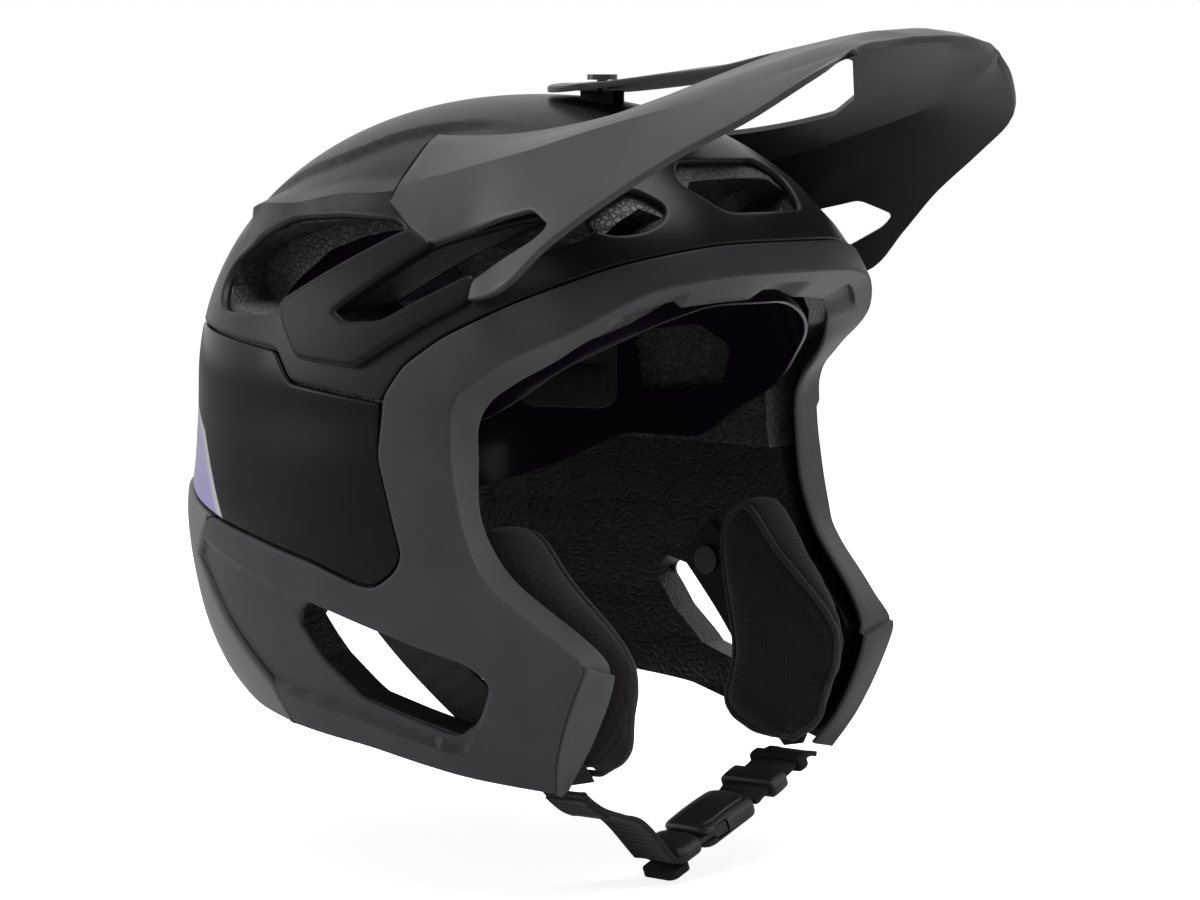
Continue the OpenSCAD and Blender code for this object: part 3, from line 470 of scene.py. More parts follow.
def applied(obj):
    """The object's mesh, once its modifiers are worked in."""
    graph = bpy.context.evaluated_depsgraph_get()
    graph.update()
    mesh = bpy.data.meshes.new_from_object(obj.evaluated_get(graph))
    obj.modifiers.clear()
    obj.data = mesh
    return mesh


def shell_grid(step):
    out = []
    rows = np.arange(step * 0.6, S_TAB[-1] + step, step * 0.87)
    for i, s in enumerate(rows):
        m = np.interp(s, S_TAB, M_TAB)
        n = max(6, int(round(2 * PI * np.interp(m, M_TAB, R_TAB) / step)))
        t = (np.arange(n) + 0.5 * (i % 2)) / n * 2 * PI
        out.append(to_domain(t, np.full(n, m)))
    return np.concatenate(out)


def shell_lift(p, d):
    t, m = from_domain(p)
    return shell(t, m, d)


# Where a panel's flat outline lives: scale(points), grid(step), and lift(points, depth) to 3-D
SHELL = SimpleNamespace(scale=scale_at, grid=shell_grid, lift=shell_lift)


def panel(name, loops, depth, thick, material, body, relief=None, lines=(), step=3.0, gap=0.5, rounding=0.9,
          domain=SHELL, hole_gap=0.0, hole_rounding=None, sharp=33.0, under=None):
    """Closed sheet over the domain: loops[0] is its outer edge, the rest are its holes."""
    points, drops, edges, bounds = [], [], [], []
    for n, loop in enumerate(loops):
        closed = loop[::-1] if area(loop) * (1 if n == 0 else -1) < 0 else loop
        closed = thin(closed, domain.scale(closed), closed=True)
        tangent = np.roll(closed, -1, 0) - np.roll(closed, 1, 0)
        inward = unit(np.stack([-tangent[:, 1], tangent[:, 0]], -1)) * domain.scale(closed)[:, None]
        r = rounding if n == 0 or hole_rounding is None else hole_rounding
        base = gap if n == 0 else hole_gap
        for share in (0.0, 0.1, 0.35, 0.8, 1.5):
            ring = closed + inward * (base + share * r)
            start = len(points)
            points += [tuple(q) for q in ring]
            drops += [r - math.sqrt(max(r * r - (r - min(share, 1) * r) ** 2, 0))] * len(ring)
            if share in (0.0, 0.35, 1.5):
                edges += [(start + i, start + (i + 1) % len(ring)) for i in range(len(ring))]
            if share == 0.0:
                bounds.append(ring)
    for line in lines:
        line = thin(line, domain.scale(line), longest=2.5)
        ok = inside(line, bounds)
        near = np.min([distance(line, np.concatenate([b, b[:1]])) for b in bounds], axis=0) / domain.scale(line)
        ok &= near > 1.6 * max(rounding, hole_rounding or 0) + 0.2
        joined = False
        for q, good in zip(line, ok):
            if good:
                points.append(tuple(q))
                drops.append(0.0)
                if joined:
                    edges.append((len(points) - 2, len(points) - 1))
            joined = good
    tree = tree_of([(x, y, 0) for x, y in points])
    grid = domain.grid(step)
    grid = grid[inside(grid, bounds)]
    for q, s in zip(grid, domain.scale(grid)):
        if tree.find((q[0], q[1], 0))[2] > 0.62 * step * s:
            points.append(tuple(q))
            drops.append(0.0)
    verts, _, tris, origin, _, _ = delaunay_2d_cdt([Vector(q) for q in points], edges, [], 0, 1e-5, True)
    flat = np.array([tuple(v) for v in verts])
    drop = np.array([min([drops[k] for k in o], default=0.0) for o in origin])
    tris = np.array([list(f) for f in tris])
    tris = tris[inside(flat[tris].mean(1), bounds)]
    used = np.unique(tris)
    index = np.full(len(flat), -1)
    index[used] = np.arange(len(used))
    flat, drop, tris = flat[used], drop[used], index[tris]
    a, b, c = flat[tris[:, 0]], flat[tris[:, 1]], flat[tris[:, 2]]
    turn = (b[:, 0] - a[:, 0]) * (c[:, 1] - a[:, 1]) - (b[:, 1] - a[:, 1]) * (c[:, 0] - a[:, 0])
    tris[turn < 0] = tris[turn < 0][:, ::-1]
    h = relief(flat) if relief else np.zeros(len(flat))
    top = domain.lift(flat, depth - h + drop)
    bottom = domain.lift(flat, under(flat) if under else depth - h + thick)
    seen = {(f[k], f[(k + 1) % 3]): True for f in tris for k in range(3)}
    walls = []
    count = len(flat)
    for (i, j) in seen:
        if (j, i) not in seen:
            walls += [(j, i, i + count), (j, i + count, j + count)]
    faces = [tuple(f) for f in tris] + [tuple(f[::-1] + count) for f in tris] + walls
    return make(name, np.concatenate([top, bottom]), faces, material, body, sharp)


# ---- outlines of the outer panels, in side view

FRAME_SEAM = [[-135, 75], [-113, 74], [-94, 67], [-65, 53], [-44, 42], [-30, 32], [-22, 21], [-20, 0], [-31, -34],
              [-28, -40], [-19, -46], [-12, -46], [13, -39], [44, -33], [69, -29], [95, -24], [120, -18], [146, -14]]
CROWN_SEAM = [[144, 42], [103, 41], [34, 35], [25, 24], [-20.5, 19]]
BUMPER_SEAM = [[77, -28], [92, -44], [70, -65], [41, -87], [33, -101]]
RIM_REAR = [[33, -101], [59, -97], [82, -87], [105, -78], [160, -72]]
RIM_FRONT = [[33, -101], [-5, -105], [-43, -113], [-76, -117]]
REAR_VENT = [[69, 74], [45, 81], [17, 83], [-12, 82], [-17, 77], [32, 51], [40, 47], [77, 47], [84, 54], [84, 65]]
JAW_VENT = [[24, -60], [16, -53], [-56, -71], [-63, -77], [-57, -91], [-46, -98], [-5, -87], [12, -74]]
SLOT = [[4, 49], [-4, 45], [-20, 46], [-52, 63], [-84, 78], [-78, 85], [-60, 82], [-32, 73]]
PLATE = [[31, 51], [28, 45], [18, 33], [-10, 31], [-22, 38], [-52, 55], [-52, 63], [-20, 46], [-4, 45], [4, 49],
         [-32, 73], [-22, 77], [-18, 76]]
BROW_VENT = [[-30, 95.5], [-21, 85], [21, 85], [30, 95.5], [22, 102.5], [-22, 102.5]]
TEMPLE_VENT = [[67, 81], [57, 88.5], [46, 93.5], [41, 87], [46, 82], [54, 78.5], [62, 77.5]]
EXHAUST_VENT = [[12, 62], [42, 58], [46, 72], [34, 84], [12, 86]]
# Line where the frame's outer face turns in to the port, from the rim up to the brow
CREASE = [[-76, -117], [-97, -71], [-96, -67], [-67, -45], [-60, -37], [-54, -20], [-50, 0], [-50, 17], [-53, 23],
          [-67, 33], [-79, 39], [-90, 45], [-106, 58], [-121, 63], [-160, 64]]

SKIN = 2.2  # thickness of the crown and side shells

# ---- crown

BROW_HALF = FRAME_SEAM[:7] + [[-20.5, 19]]
crown_half = np.concatenate([side_line(BROW_HALF), side_line(CROWN_SEAM[::-1])[1:]])
holes = both(side_loop(REAR_VENT, 5), side_loop(SLOT, 4), front_loop(TEMPLE_VENT, 3),
             front_loop(EXHAUST_VENT, 4, rear=True))
holes.append(front_loop(BROW_VENT, 4))

# Ridge that carries the visor's ridge backwards, and the soft fold above it
RIDGE = [[-30, 94], [-2, 89.5], [20, 88.5], [43, 85], [71, 84], [81, 82]]


def plan_domain(p, d=0.0):
    """Domain points over plan points x, y of the dome."""
    reach = np.where(p[:, 1] < 0, FRONT[-1], REAR[-1]) - d
    r = (np.abs(p[:, 0] / (HALF[-1] - d)) ** N_PLAN + np.abs(p[:, 1] / reach) ** N_PLAN) ** (1 / N_PLAN)
    e = np.arccos(np.clip(r, 0, 1) ** (N_DOME / 2))
    c = np.clip(np.abs(p[:, 1]) / reach / np.maximum(r, 1e-9), 0, 1)
    a = np.arccos(c ** (N_PLAN / 2))
    t = np.sign(np.where(p[:, 0] == 0, 1, p[:, 0])) * np.where(p[:, 1] < 0, a, PI - a)
    return to_domain(t, 1 - e / (PI / 2))


def curve(points, step=0.6):
    """Smooth curve through points."""
    p = np.asarray(points, float)
    q = np.concatenate([2 * p[:1] - p[1:2], p, 2 * p[-1:] - p[-2:-1]])
    out = []
    for a, b, c, d in zip(q, q[1:], q[2:], q[3:]):
        n = max(2, int(np.linalg.norm(c - b) / step))
        out += [catmull(a, b, c, d, k / n) for k in range(n)]
    return np.array(out + [p[-1]])


def on_left(p):
    """Domain points, with those of the wearer's right laid over to the left."""
    return np.stack([np.abs(p[:, 0]), p[:, 1]], -1)


ridge_line = side_line(curve(RIDGE), 1)
fold_line = plan_domain(curve([[52, 92], [58, 68], [61, 40], [54, 18], [48, -4], [45, -26], [42, -60]]))
FACET_SUNK, RIDGE_PROUD = 1.9, 2.8


def crown_relief(p):
    q = on_left(p)
    dr = real_distance(q, ridge_line)
    df = real_distance(q, fold_line)
    xyz = shell_lift(q, 0.0)
    # The facet between the fold and the ridge: sunk below the fold, rising to the ridge
    between = inside(q, [np.concatenate([fold_line, ridge_line])])
    ends = smoothstep((xyz[:, 1] + 40) / 40) * smoothstep((96 - xyz[:, 1]) / 22)
    width = np.maximum(dr + df, 1e-6)
    sunk = -FACET_SUNK * smoothstep(df / 4.0) * np.clip(dr / width * 1.25, 0, 1)
    h = np.where(between, sunk * ends, 0.0)
    # Ridge proud of the facet, with an undercut face below it
    line_z = np.interp(xyz[:, 1], [k[0] for k in RIDGE], [k[1] for k in RIDGE])
    below = (xyz[:, 2] < line_z) & ~between
    ends = smoothstep((96 - xyz[:, 1]) / 16) * smoothstep((xyz[:, 1] + 34) / 20)
    proud = RIDGE_PROUD * np.clip(1 - dr / 11.0, 0, 1) ** 1.2
    under = np.interp(dr, [0, 3, 15, 34], [RIDGE_PROUD, 0.9, -FACET_SUNK, 0.0])
    return h + ends * np.where(below, under, proud)


crown = panel("crown_cover", [whole(crown_half)] + holes, 0.0, SKIN, "crown", "shell", relief=crown_relief,
              lines=both(ridge_line, fold_line), hole_rounding=1.3)
stands(crown, "satin_black", "crown_shell")

# ---- side shell and rear bumper

side_half = np.concatenate([side_line(CROWN_SEAM), side_line([[-20.5, 19], [-20, 0]] + FRAME_SEAM[8:])[1:]])
stands(panel("side_cover", [whole(side_half)], 0.0, SKIN, "side", "shell", step=3.2), "gloss_black", "side_shell")

RAISED = 1.4  # how far the frame and the bumper stand proud
bumper_half = np.concatenate([side_line([[146, -14], [120, -18], [95, -24], [77, -28]] + BUMPER_SEAM[1:], 2.5),
                              side_line(RIM_REAR, 6)[1:]])


def bumper_relief(p):
    """Wide scoop at the back, 66 mm below the head's middle."""
    x, y, z = shell_lift(p, 0.0).T
    return RAISED - 3.2 * smoothstep(1 - np.abs(z + 66) / 7) * smoothstep((44 - np.abs(x)) / 14) * (y > 60)


bumper = panel("bumper_cover", [whole(bumper_half)], 0.0, 3.6, "bumper", "shell", relief=bumper_relief, step=3.2,
               rounding=1.2)
stands(bumper, "matte_grey", "rear_bumper")

# ---- lower frame, with the port's turned-in edge

# Keys of the crease and of the flange's inner edge as y, z, depth; the last of each lies in the middle
RIM = [[-73, -115.3, 9], [-87.3, -95.6, 12], [-95, -77, 13], [-95.3, -69.5, 13], [-66.5, -43, 13], [-60, -35.5, 13],
       [-52.8, -21, 13], [-51, 0, 13], [-51, 11, 12.5], [-54.5, 18, 12], [-63, 25.5, 12.5], [-74, 33.3, 14.5],
       [-83, 41.5, 16], [-97, 50, 17], [-104.5, 52.6, 17.5], [None, 53.6, 17.5]]
CREASE_KEYS = [[-76, -117], [-88, -90.5], [-97, -71], [-96, -67], [-67, -45], [-60, -37], [-54, -20], [-50, 0],
               [-50, 15], [-53, 23], [-67, 33], [-79, 39], [-90, 45], [-106, 58], [-121, 63], [None, 64]]
RECESS = [[100, -34], [80, -37], [-23, -62], [-60, -73], [-66, -79], [-50, -103], [-43, -104], [0, -94], [31, -89],
          [60, -84]]
# Facet above the wing, between its outer crease and a fold in the outer face
FOLD = [[-97, -71.5], [-84.5, -73.5], [-65, -60.3], [-43.8, -47.6], [-37, -40], [-39, -20], [-40, 8]]
FACET = [[-50, 8], [-54, -20], [-60, -37], [-67, -45], [-96, -67]] + FOLD

crease_line = side_line(CREASE, 5)
front_half = np.concatenate([side_line(FRAME_SEAM[:15] + BUMPER_SEAM, 3), side_line(RIM_FRONT, 8)[1:], crease_line])
recess_loop = side_loop(RECESS, 4)
facet_loop = side_loop(FACET, 1)
wing_fold = side_line(FOLD, 1)


def frame_relief(p):
    q = on_left(p)
    edge = real_distance(q, np.concatenate([recess_loop, recess_loop[:1]]))
    most = 2.2 + 1.1 * smoothstep((90 - shell_lift(q, 0.0)[:, 1]) / 90)
    sunk = np.where(inside(q, [facet_loop]), np.minimum(real_distance(q, wing_fold) * 0.14, 2.6), 0.0)
    return RAISED - np.where(inside(q, [recess_loop]), most * np.minimum(edge / 2.6, 1), sunk)


lower = panel("frame_cover", [whole(front_half)] + both(side_loop(JAW_VENT, 5)), 0.0, 2.4, "frame", "shell",
              relief=frame_relief, lines=both(recess_loop, wing_fold), hole_rounding=1.3, sharp=24, rounding=1.0,
              gap=0.4)


def key_rows(keys, depth):
    """Plan angle, meridian share and depth of each key."""
    out = []
    for k in keys:
        d = k[2] if depth is None else depth
        t, m, _ = side_angles(np.array([float(k[0] or 0)]), np.array([float(k[1])]), d)
        out.append([0.0 if k[0] is None else t[0], m[0], d])
    return np.array(out)


def spans(keys, n):
    """Smooth run through the keys, n rows a span, without overshoot at close keys."""
    q = np.concatenate([2 * keys[:1] - keys[1:2], keys, [keys[-2] * np.array([-1, 1, 1])]])
    steps = np.linalg.norm(np.diff(q, axis=0) * np.array([100, 110, 1]), axis=1) ** 0.5
    at = np.concatenate([[0], np.cumsum(steps)])
    out = []
    for i in range(1, len(q) - 2):
        k = at[i - 1:i + 3]
        for t in np.linspace(k[1], k[2], n, endpoint=False):
            a = [((k[j + 1] - t) * q[i - 1 + j] + (t - k[j]) * q[i + j]) / (k[j + 1] - k[j]) for j in range(3)]
            b = [((k[j + 2] - t) * a[j] + (t - k[j]) * a[j + 1]) / (k[j + 2] - k[j]) for j in range(2)]
            out.append(((k[2] - t) * b[0] + (t - k[1]) * b[1]) / (k[2] - k[1]))
    out.append(keys[-1])
    return np.array(out)


def matched(line, keys, n):
    """Points of a domain line at the keys, and n - 1 evenly between each two."""
    place = shell_lift(line, 0.0)
    run = np.concatenate([[0], np.cumsum(np.linalg.norm(np.diff(place, axis=0), axis=1))])
    at = [run[np.argmin(np.linalg.norm(place - k, axis=1))] for k in shell(keys[:, 0], keys[:, 1], 0.0)]
    at[0], at[-1] = 0.0, run[-1]
    rows = np.concatenate([np.linspace(a, b, n, endpoint=False) for a, b in zip(at[:-1], at[1:])] + [[run[-1]]])
    return np.stack([np.interp(rows, run, line[:, 0]), np.interp(rows, run, line[:, 1])], -1)


def sweep(name, rings, material, body, sharp=30.0, closed=False):
    """Closed body through rings of equally many points, capped at both ends."""
    rings = np.asarray(rings, float)
    rows, cols = rings.shape[:2]
    faces = []
    for r in range(rows if closed else rows - 1):
        for c in range(cols):
            a, b = r * cols + c, r * cols + (c + 1) % cols
            e = ((r + 1) % rows) * cols
            faces.append((a, b, e + (c + 1) % cols, e + c))
    verts = rings.reshape(-1, 3)
    if not closed:
        verts = np.concatenate([verts, [rings[0].mean(0)], [rings[-1].mean(0)]])
        n = rows * cols
        faces += [(n, (c + 1) % cols, c) for c in range(cols)]
        faces += [(n + 1, n - cols + c, n - cols + (c + 1) % cols) for c in range(cols)]
    return make(name, verts, faces, material, body, sharp)


ROWS_A_SPAN = 10
outer_flat = matched(crease_line, key_rows(CREASE_KEYS, 0.0), ROWS_A_SPAN)
inward = unit(np.gradient(outer_flat, axis=0) @ np.array([[0, 1], [-1, 0]])) * scale_at(outer_flat)[:, None]
if inside(outer_flat + inward, [whole(front_half)]).mean() < 0.5:
    inward = -inward
inner_run = spans(key_rows(RIM, None), ROWS_A_SPAN)
start_height = frame_relief(outer_flat + 0.9 * inward)
outer_at = shell_lift(outer_flat + 0.4 * inward, 0.95 - start_height)
outer_at[-1, 0] = 0.0
inner_at = shell(inner_run[:, 0], inner_run[:, 1], inner_run[:, 2])
PORT_MIDDLE = np.array([0, -95, -25])
# Pockets sunk into the flange under the brow: from row, to row, depth
POCKETS = [(ROWS_A_SPAN * 12.2, ROWS_A_SPAN * 13.4, 3.0), (ROWS_A_SPAN * 14.55, ROWS_A_SPAN * 15.3, 3.6)]


def flange_rings():
    """Section of the turned-in edge at each row, from its outer line to its inner one."""
    length = np.linalg.norm(inner_at - outer_at, axis=1)
    across_way = unit(inner_at - outer_at)
    normal = unit(np.cross(np.gradient(outer_at + inner_at, axis=0), across_way))
    away = (outer_at + inner_at) / 2 - PORT_MIDDLE
    away[:, 0] = 0
    normal *= np.where(np.sum(normal * away, 1) < 0, -1, 1)[:, None]
    rings = []
    for i in range(len(outer_at)):
        n, w = length[i], 2.2
        h = max(deep * float(smoothstep((i - a) / 3.5)) * float(smoothstep((b - i) / 0.9)) for a, b, deep in POCKETS)
        sect = [(0, 0), (0.25 * n, 0), (0.36 * n, 0), (0.42 * n, h), (0.7 * n, h), (n - 1.1, h), (n - 0.3, h + 0.35),
                (n, h + 1.1), (n - 0.3, h + w - 0.35), (n - 1.1, h + w), (0.5 * n, h + w), (0.25 * n, w), (0, w)]
        rings.append([outer_at[i] + across_way[i] * a + normal[i] * b for a, b in sect])
    return np.array(rings)


half_rings = flange_rings()
other_half = half_rings[:-1][::-1] * FLIP
flange = sweep("frame_flange", np.concatenate([half_rings, other_half]), "flange", "shell", 34)
stands(lower, "matte_grey", "lower_frame")
stands(flange, "matte_grey")

# ---- side plates

plate_loop = side_loop(PLATE, 3)
for (name, _), loop in zip(SIDES, both(plate_loop)):
    piece = panel("plate_" + name, [loop], -3.2, 4.6, "plate", "shell", step=2.4, gap=-1.0, rounding=1.6)
    stands(piece, "plate_black", "side_plate_" + name)

# ---- visor

RAILS = np.array([
    [[0, -2, 129.5], [0, -25, 130], [0, -50, 132], [0, -75, 135], [0, -100, 137.5], [0, -122, 141],
     [0, -142, 144.5], [0, -160, 147.5], [0, -175, 148.5], [0, -187, 146]],
    [[20, -2, 128], [20, -25, 128.5], [20, -50, 130.5], [20, -75, 133], [20, -100, 135.5],
     [20, -121, 139.5], [20, -141, 143], [20, -158, 146], [19, -172, 147.5], [16, -184, 145.5]],
    [[66, -5, 109], [66, -25, 109], [66, -45, 110], [66, -67, 113], [64, -88, 118], [60, -108, 124],
     [54, -128, 130.5], [46, -146, 137], [38, -163, 142.5], [30, -180, 144]],
    [[84, -7, 94], [83, -28, 98], [82, -48, 102.5], [81, -68, 107], [79, -88, 112.5], [76, -107, 117.5],
     [70, -127, 123], [61, -148, 129.5], [51, -165, 136], [40, -177, 141.5]],
    [[92, -8, 83], [101.5, -30, 60], [98.5, -52, 55.5], [104, -74, 60.5], [101.4, -91.5, 75], [94, -113, 91],
     [87, -137, 106], [76, -159, 119], [58, -171, 132], [44, -176, 139]]], float)
ACROSS = np.array([0.0, 20, 66, 92, 122])
ALONG = np.array([0.0, 24, 48, 72, 95, 117, 138, 157, 173, 187])
BOX = np.array([[-200, 0], [200, ALONG[-1]]])


def rail_at(rail, v):
    i = span(ALONG, v)
    t = ((v - ALONG[i]) / (ALONG[i + 1] - ALONG[i]))[:, None]
    return catmull(rail[np.maximum(i - 1, 0)], rail[i], rail[i + 1], rail[np.minimum(i + 2, 9)], t)


def visor_top(p):
    u, v = np.abs(p[:, 0]), p[:, 1]
    k = span(ACROSS, u)
    w = ((u - ACROSS[k]) / (ACROSS[k + 1] - ACROSS[k]))[:, None]
    rails = np.array([rail_at(r, v) for r in RAILS])
    n = np.arange(len(p))
    q = rails[k, n] * (1 - w) + rails[k + 1, n] * w
    # A little crown on the facets between the rails
    q[:, 2] += 0.6 * 4 * w[:, 0] * (1 - w[:, 0]) * (k >= 2)
    q[:, 0] *= np.where(p[:, 0] < 0, -1, 1)
    return q


def visor_lift(p, d):
    p = np.stack([p[:, 0], np.clip(p[:, 1], 0, ALONG[-1])], -1)
    du, dv = (visor_top(np.clip(p + e, *BOX)) - visor_top(np.clip(p - e, *BOX)) for e in ([0.8, 0], [0, 0.8]))
    n = unit(np.cross(dv, du))
    n *= np.where(n[:, 2] < 0, -1, 1)[:, None]
    return visor_top(p) - n * np.asarray(d)[..., None]


def visor_grid(step):
    out = []
    for i, v in enumerate(np.arange(0, ALONG[-1], step * 0.87)):
        u = np.arange(-124, 124, step) + 0.5 * step * (i % 2)
        out.append(np.stack([u, np.full(len(u), v)], -1))
    return np.concatenate(out)


def visor_find(target, axes, u_from, u_to):
    """Domain points whose surface points have the given two coordinates."""
    uu, vv = np.meshgrid(np.linspace(u_from, u_to, 60), np.linspace(0, ALONG[-1], 180))
    grid = np.stack([uu.ravel(), vv.ravel()], -1)
    seen = visor_top(grid)[:, axes]
    out = []
    for t in np.asarray(target, float):
        p = grid[np.argmin(np.sum((seen - t) ** 2, 1))].copy()
        for _ in range(12):
            f = visor_top(p[None])[0, axes] - t
            if np.linalg.norm(f) < 1e-4:
                break
            j = np.stack([(visor_top(p[None] + e)[0, axes] - visor_top(p[None] - e)[0, axes]) / 0.4
                          for e in ([0.2, 0], [0, 0.2])], -1)
            p = np.clip(p + np.clip(np.linalg.lstsq(j, -f, rcond=None)[0], -4, 4), (u_from, 0), (u_to, ALONG[-1]))
        out.append(p)
    return np.array(out)


tongue_end = [[20 * math.sin(a), -30 + 20 * math.cos(a)] for a in np.linspace(0, PI / 2, 12)]
gap_plan = [[20, -40], [20, -125.5], [20.6, -126.6], [21.6, -127.2], [23, -127], [50.8, -106.2], [52, -105.4],
            [59, -91.8], [59.8, -90.2], [60, -88], [60, -5.0]]
ARM_END = [[-7.5, 88.4], [-22, 79], [-33, 74], [-60, 83], [-78, 87], [-90, 82], [-84, 77], [-54, 62.5], [-54, 56.0]]
gap_line = visor_find(np.concatenate([tongue_end, dense(soften(gap_plan, 1.5), 1.5)]), [0, 1], 0.0, 70.0)
arm_line = visor_find(dense(soften(ARM_END, 2.5), 1.5), [1, 2], 72.0, ACROSS[-1])
gap_line[0, 0] = gap_line[-1, 1] = 0.0
arm_line[0, 1] = 0.0
arm_line[-1, 0] = ACROSS[-1]
visor_edge = dense([[ACROSS[-1], arm_line[-1, 1]], [ACROSS[-1], ALONG[-1]], [0.0, ALONG[-1]]], 2.0)
visor_half = np.concatenate([gap_line, arm_line, visor_edge[1:]])
VISOR = SimpleNamespace(scale=lambda p: np.ones(len(p)), grid=visor_grid, lift=visor_lift)
SCREW_R, SCREW_V = 2.2, 28.0
hole = np.array([[SCREW_R * math.cos(a), SCREW_V + SCREW_R * math.sin(a)]
                 for a in np.linspace(0, 2 * PI, 24, endpoint=False)])
fold_u = [np.stack([np.full(80, s * u), np.linspace(2, 185, 80)], -1) for s in (-1, 1) for u in (20.0, 66.0, 92.0)]
visor = panel("visor_shell", [whole(visor_half), hole], 0.0, 2.4, "visor", "visor_set", domain=VISOR, gap=0.0,
              hole_rounding=0.4, lines=fold_u, step=4.0, sharp=14)
stands(visor, "visor_black", "visor")

# ---- sliding liner

LINER = [[-140, 53], [-99, 52], [-96, 49], [-82, 38], [-70, 31], [-58, 21], [-47, 14], [-29, 7], [-8, -6], [30, -6],
         [60, -20], [100, -34], [150, -36]]
LINER_DEPTH, LINER_STEP = 25.1, 0.4
liner_holes = both(*[side_loop(hole, 4.0, LINER_DEPTH, LINER_STEP) for hole in (
    SLOT, REAR_VENT, [[-20, 14], [20, 10], [24, 34], [-10, 38], [-26, 30]],
    [[56, 8], [96, 4], [98, 30], [70, 36], [52, 30]])])
liner = panel("liner_skin", [whole(side_line(LINER, 6.0, LINER_DEPTH, LINER_STEP))] + liner_holes, LINER_DEPTH, 1.2,
              "liner", "liner_set", step=4.0, gap=0.0, rounding=0.5)
stands(liner, "liner_plastic", "slip_liner")

# ---- padding

PAD_DEPTH = 27.3
CHEEK = [[-50, -25], [-67, -43], [-91, -64], [-97, -80], [-90, -104], [-75, -114], [-54, -113], [-39, -104], [-43, -84],
         [-38, -58], [-36, -34]]
CHEEK_MIDDLE = np.array([-66.0, -75.0])
# Share of the outline and share of the depth of each ring, from the back to the face
CHEEK_RINGS = [[0.3, 0], [0.55, 0], [0.78, 0], [0.9, 0.01], [0.965, 0.07], [0.99, 0.2], [1.0, 0.36], [0.995, 0.52],
               [0.98, 0.66], [0.95, 0.78], [0.9, 0.87], [0.82, 0.93], [0.7, 0.97], [0.5, 1.0], [0.25, 1.0]]
CHEEK_BACK, CHEEK_GAP, PIPING_R = 20.85, 54.0, 1.25


def round_loop(points, n):
    """Closed smooth curve through points, n steps a span."""
    q = np.asarray(points, float)
    spans_of = zip(np.roll(q, 1, 0), q, np.roll(q, -1, 0), np.roll(q, -2, 0))
    return np.array([catmull(a, b, c, d, t) for a, b, c, d in spans_of for t in np.arange(n) / n])


def cheek_ring(share, deep, n=6):
    yz = CHEEK_MIDDLE + (round_loop(CHEEK, n) - CHEEK_MIDDLE) * share
    back = skirt_x(yz[:, 0], yz[:, 1], CHEEK_BACK)
    face = np.minimum(CHEEK_GAP, back - 7)
    return np.stack([back + (face - back) * deep, yz[:, 0], yz[:, 1]], -1)


def subdivided(obj):
    mod = obj.modifiers.new("smooth", "SUBSURF")
    mod.levels = mod.render_levels = 1
    applied(obj).shade_smooth()


def swell(obj, cap, stays, voxel=0.0045, pressure=4.0, frames=20):
    """Fills a pad by cloth under pressure. stays(points) is 1 where the pad rests on its carrier."""
    scene = bpy.context.scene
    mod = obj.modifiers.new("remesh", "REMESH")
    mod.mode = "VOXEL"
    mod.voxel_size = voxel
    mesh = applied(obj)
    start = coords(mesh)
    group = obj.vertex_groups.new(name="rest")
    for k, w in enumerate(stays(start)):
        if w > 0:
            group.add([k], float(w), "REPLACE")
    cloth = obj.modifiers.new("cloth", "CLOTH")
    cloth.settings.use_pressure = True
    cloth.settings.uniform_pressure_force = pressure
    cloth.settings.effector_weights.gravity = 0.0
    cloth.settings.vertex_group_mass = "rest"
    cloth.settings.quality = 4
    cloth.point_cache.frame_start = 1
    cloth.point_cache.frame_end = frames
    for f in range(1, frames + 1):
        scene.frame_set(f)
    move = coords(obj.evaluated_get(bpy.context.evaluated_depsgraph_get()).to_mesh()) - start
    obj.modifiers.clear()
    scene.frame_set(1)
    move *= np.minimum(1, cap / np.maximum(np.linalg.norm(move, axis=1), 1e-9))[:, None]
    mesh.vertices.foreach_set("co", (start + move).ravel())
    mesh.update()
    subdivided(obj)


def tube(name, path, radius, material, body, closed=False):
    """Round cord along a path in millimetres."""
    path = np.asarray(path, float)
    along = unit(np.roll(path, -1, 0) - np.roll(path, 1, 0) if closed else np.gradient(path, axis=0))
    side_way = unit(np.cross(along, [1.0, 0.13, 0.09]))
    turn = np.linspace(0, 2 * PI, 8, endpoint=False)[None, :, None]
    around = np.cos(turn) * side_way[:, None] + np.sin(turn) * np.cross(along, side_way)[:, None]
    return sweep(name, path[:, None] + radius * around, material, body, 80, closed)


def on_carrier(points):
    """1 for points of the cheek pad within 3.5 mm of the foam's face."""
    x, y, z = points.T / MM
    return (skirt_x(y, z, CHEEK_BACK) - x < 3.5).astype(float)


cheek_form = sweep("cheek_cushion_left", [cheek_ring(a, 0.03 + 0.97 * b) for a, b in CHEEK_RINGS], "cheek", None, 80)
swell(cheek_form, 0.005, on_carrier)
# Seam pulled in along the face's edge, where the piping lies
seam = cheek_ring(0.975, 0.86, 10)
seam_tree = tree_of(seam)
skin = cheek_form.data
co = coords(skin) / MM
pull = np.exp(-(np.array([seam_tree.find(q)[2] for q in co]) / 2.6) ** 2)
co -= (1.6 * pull)[:, None] * unit((co - [0, *CHEEK_MIDDLE]) * [0, 1, 1])
co[:, 0] += 0.9 * pull * (co[:, 0] < seam[:, 0].mean() + 8)
skin.vertices.foreach_set("co", (co * MM).ravel())
skin.update()
skin.materials.clear()
skin.materials.append(MAT["cheek"])
form_tree = tree_of(co)
cord_path = np.array([np.mean([v[0][:] for v in form_tree.find_n(q, 4)], axis=0) for q in seam])
cord_path += 0.7 * unit((seam - [0, *CHEEK_MIDDLE]) * [0, 1, 1])
for _ in range(3):
    cord_path = 0.5 * cord_path + 0.25 * (np.roll(cord_path, 1, 0) + np.roll(cord_path, -1, 0))
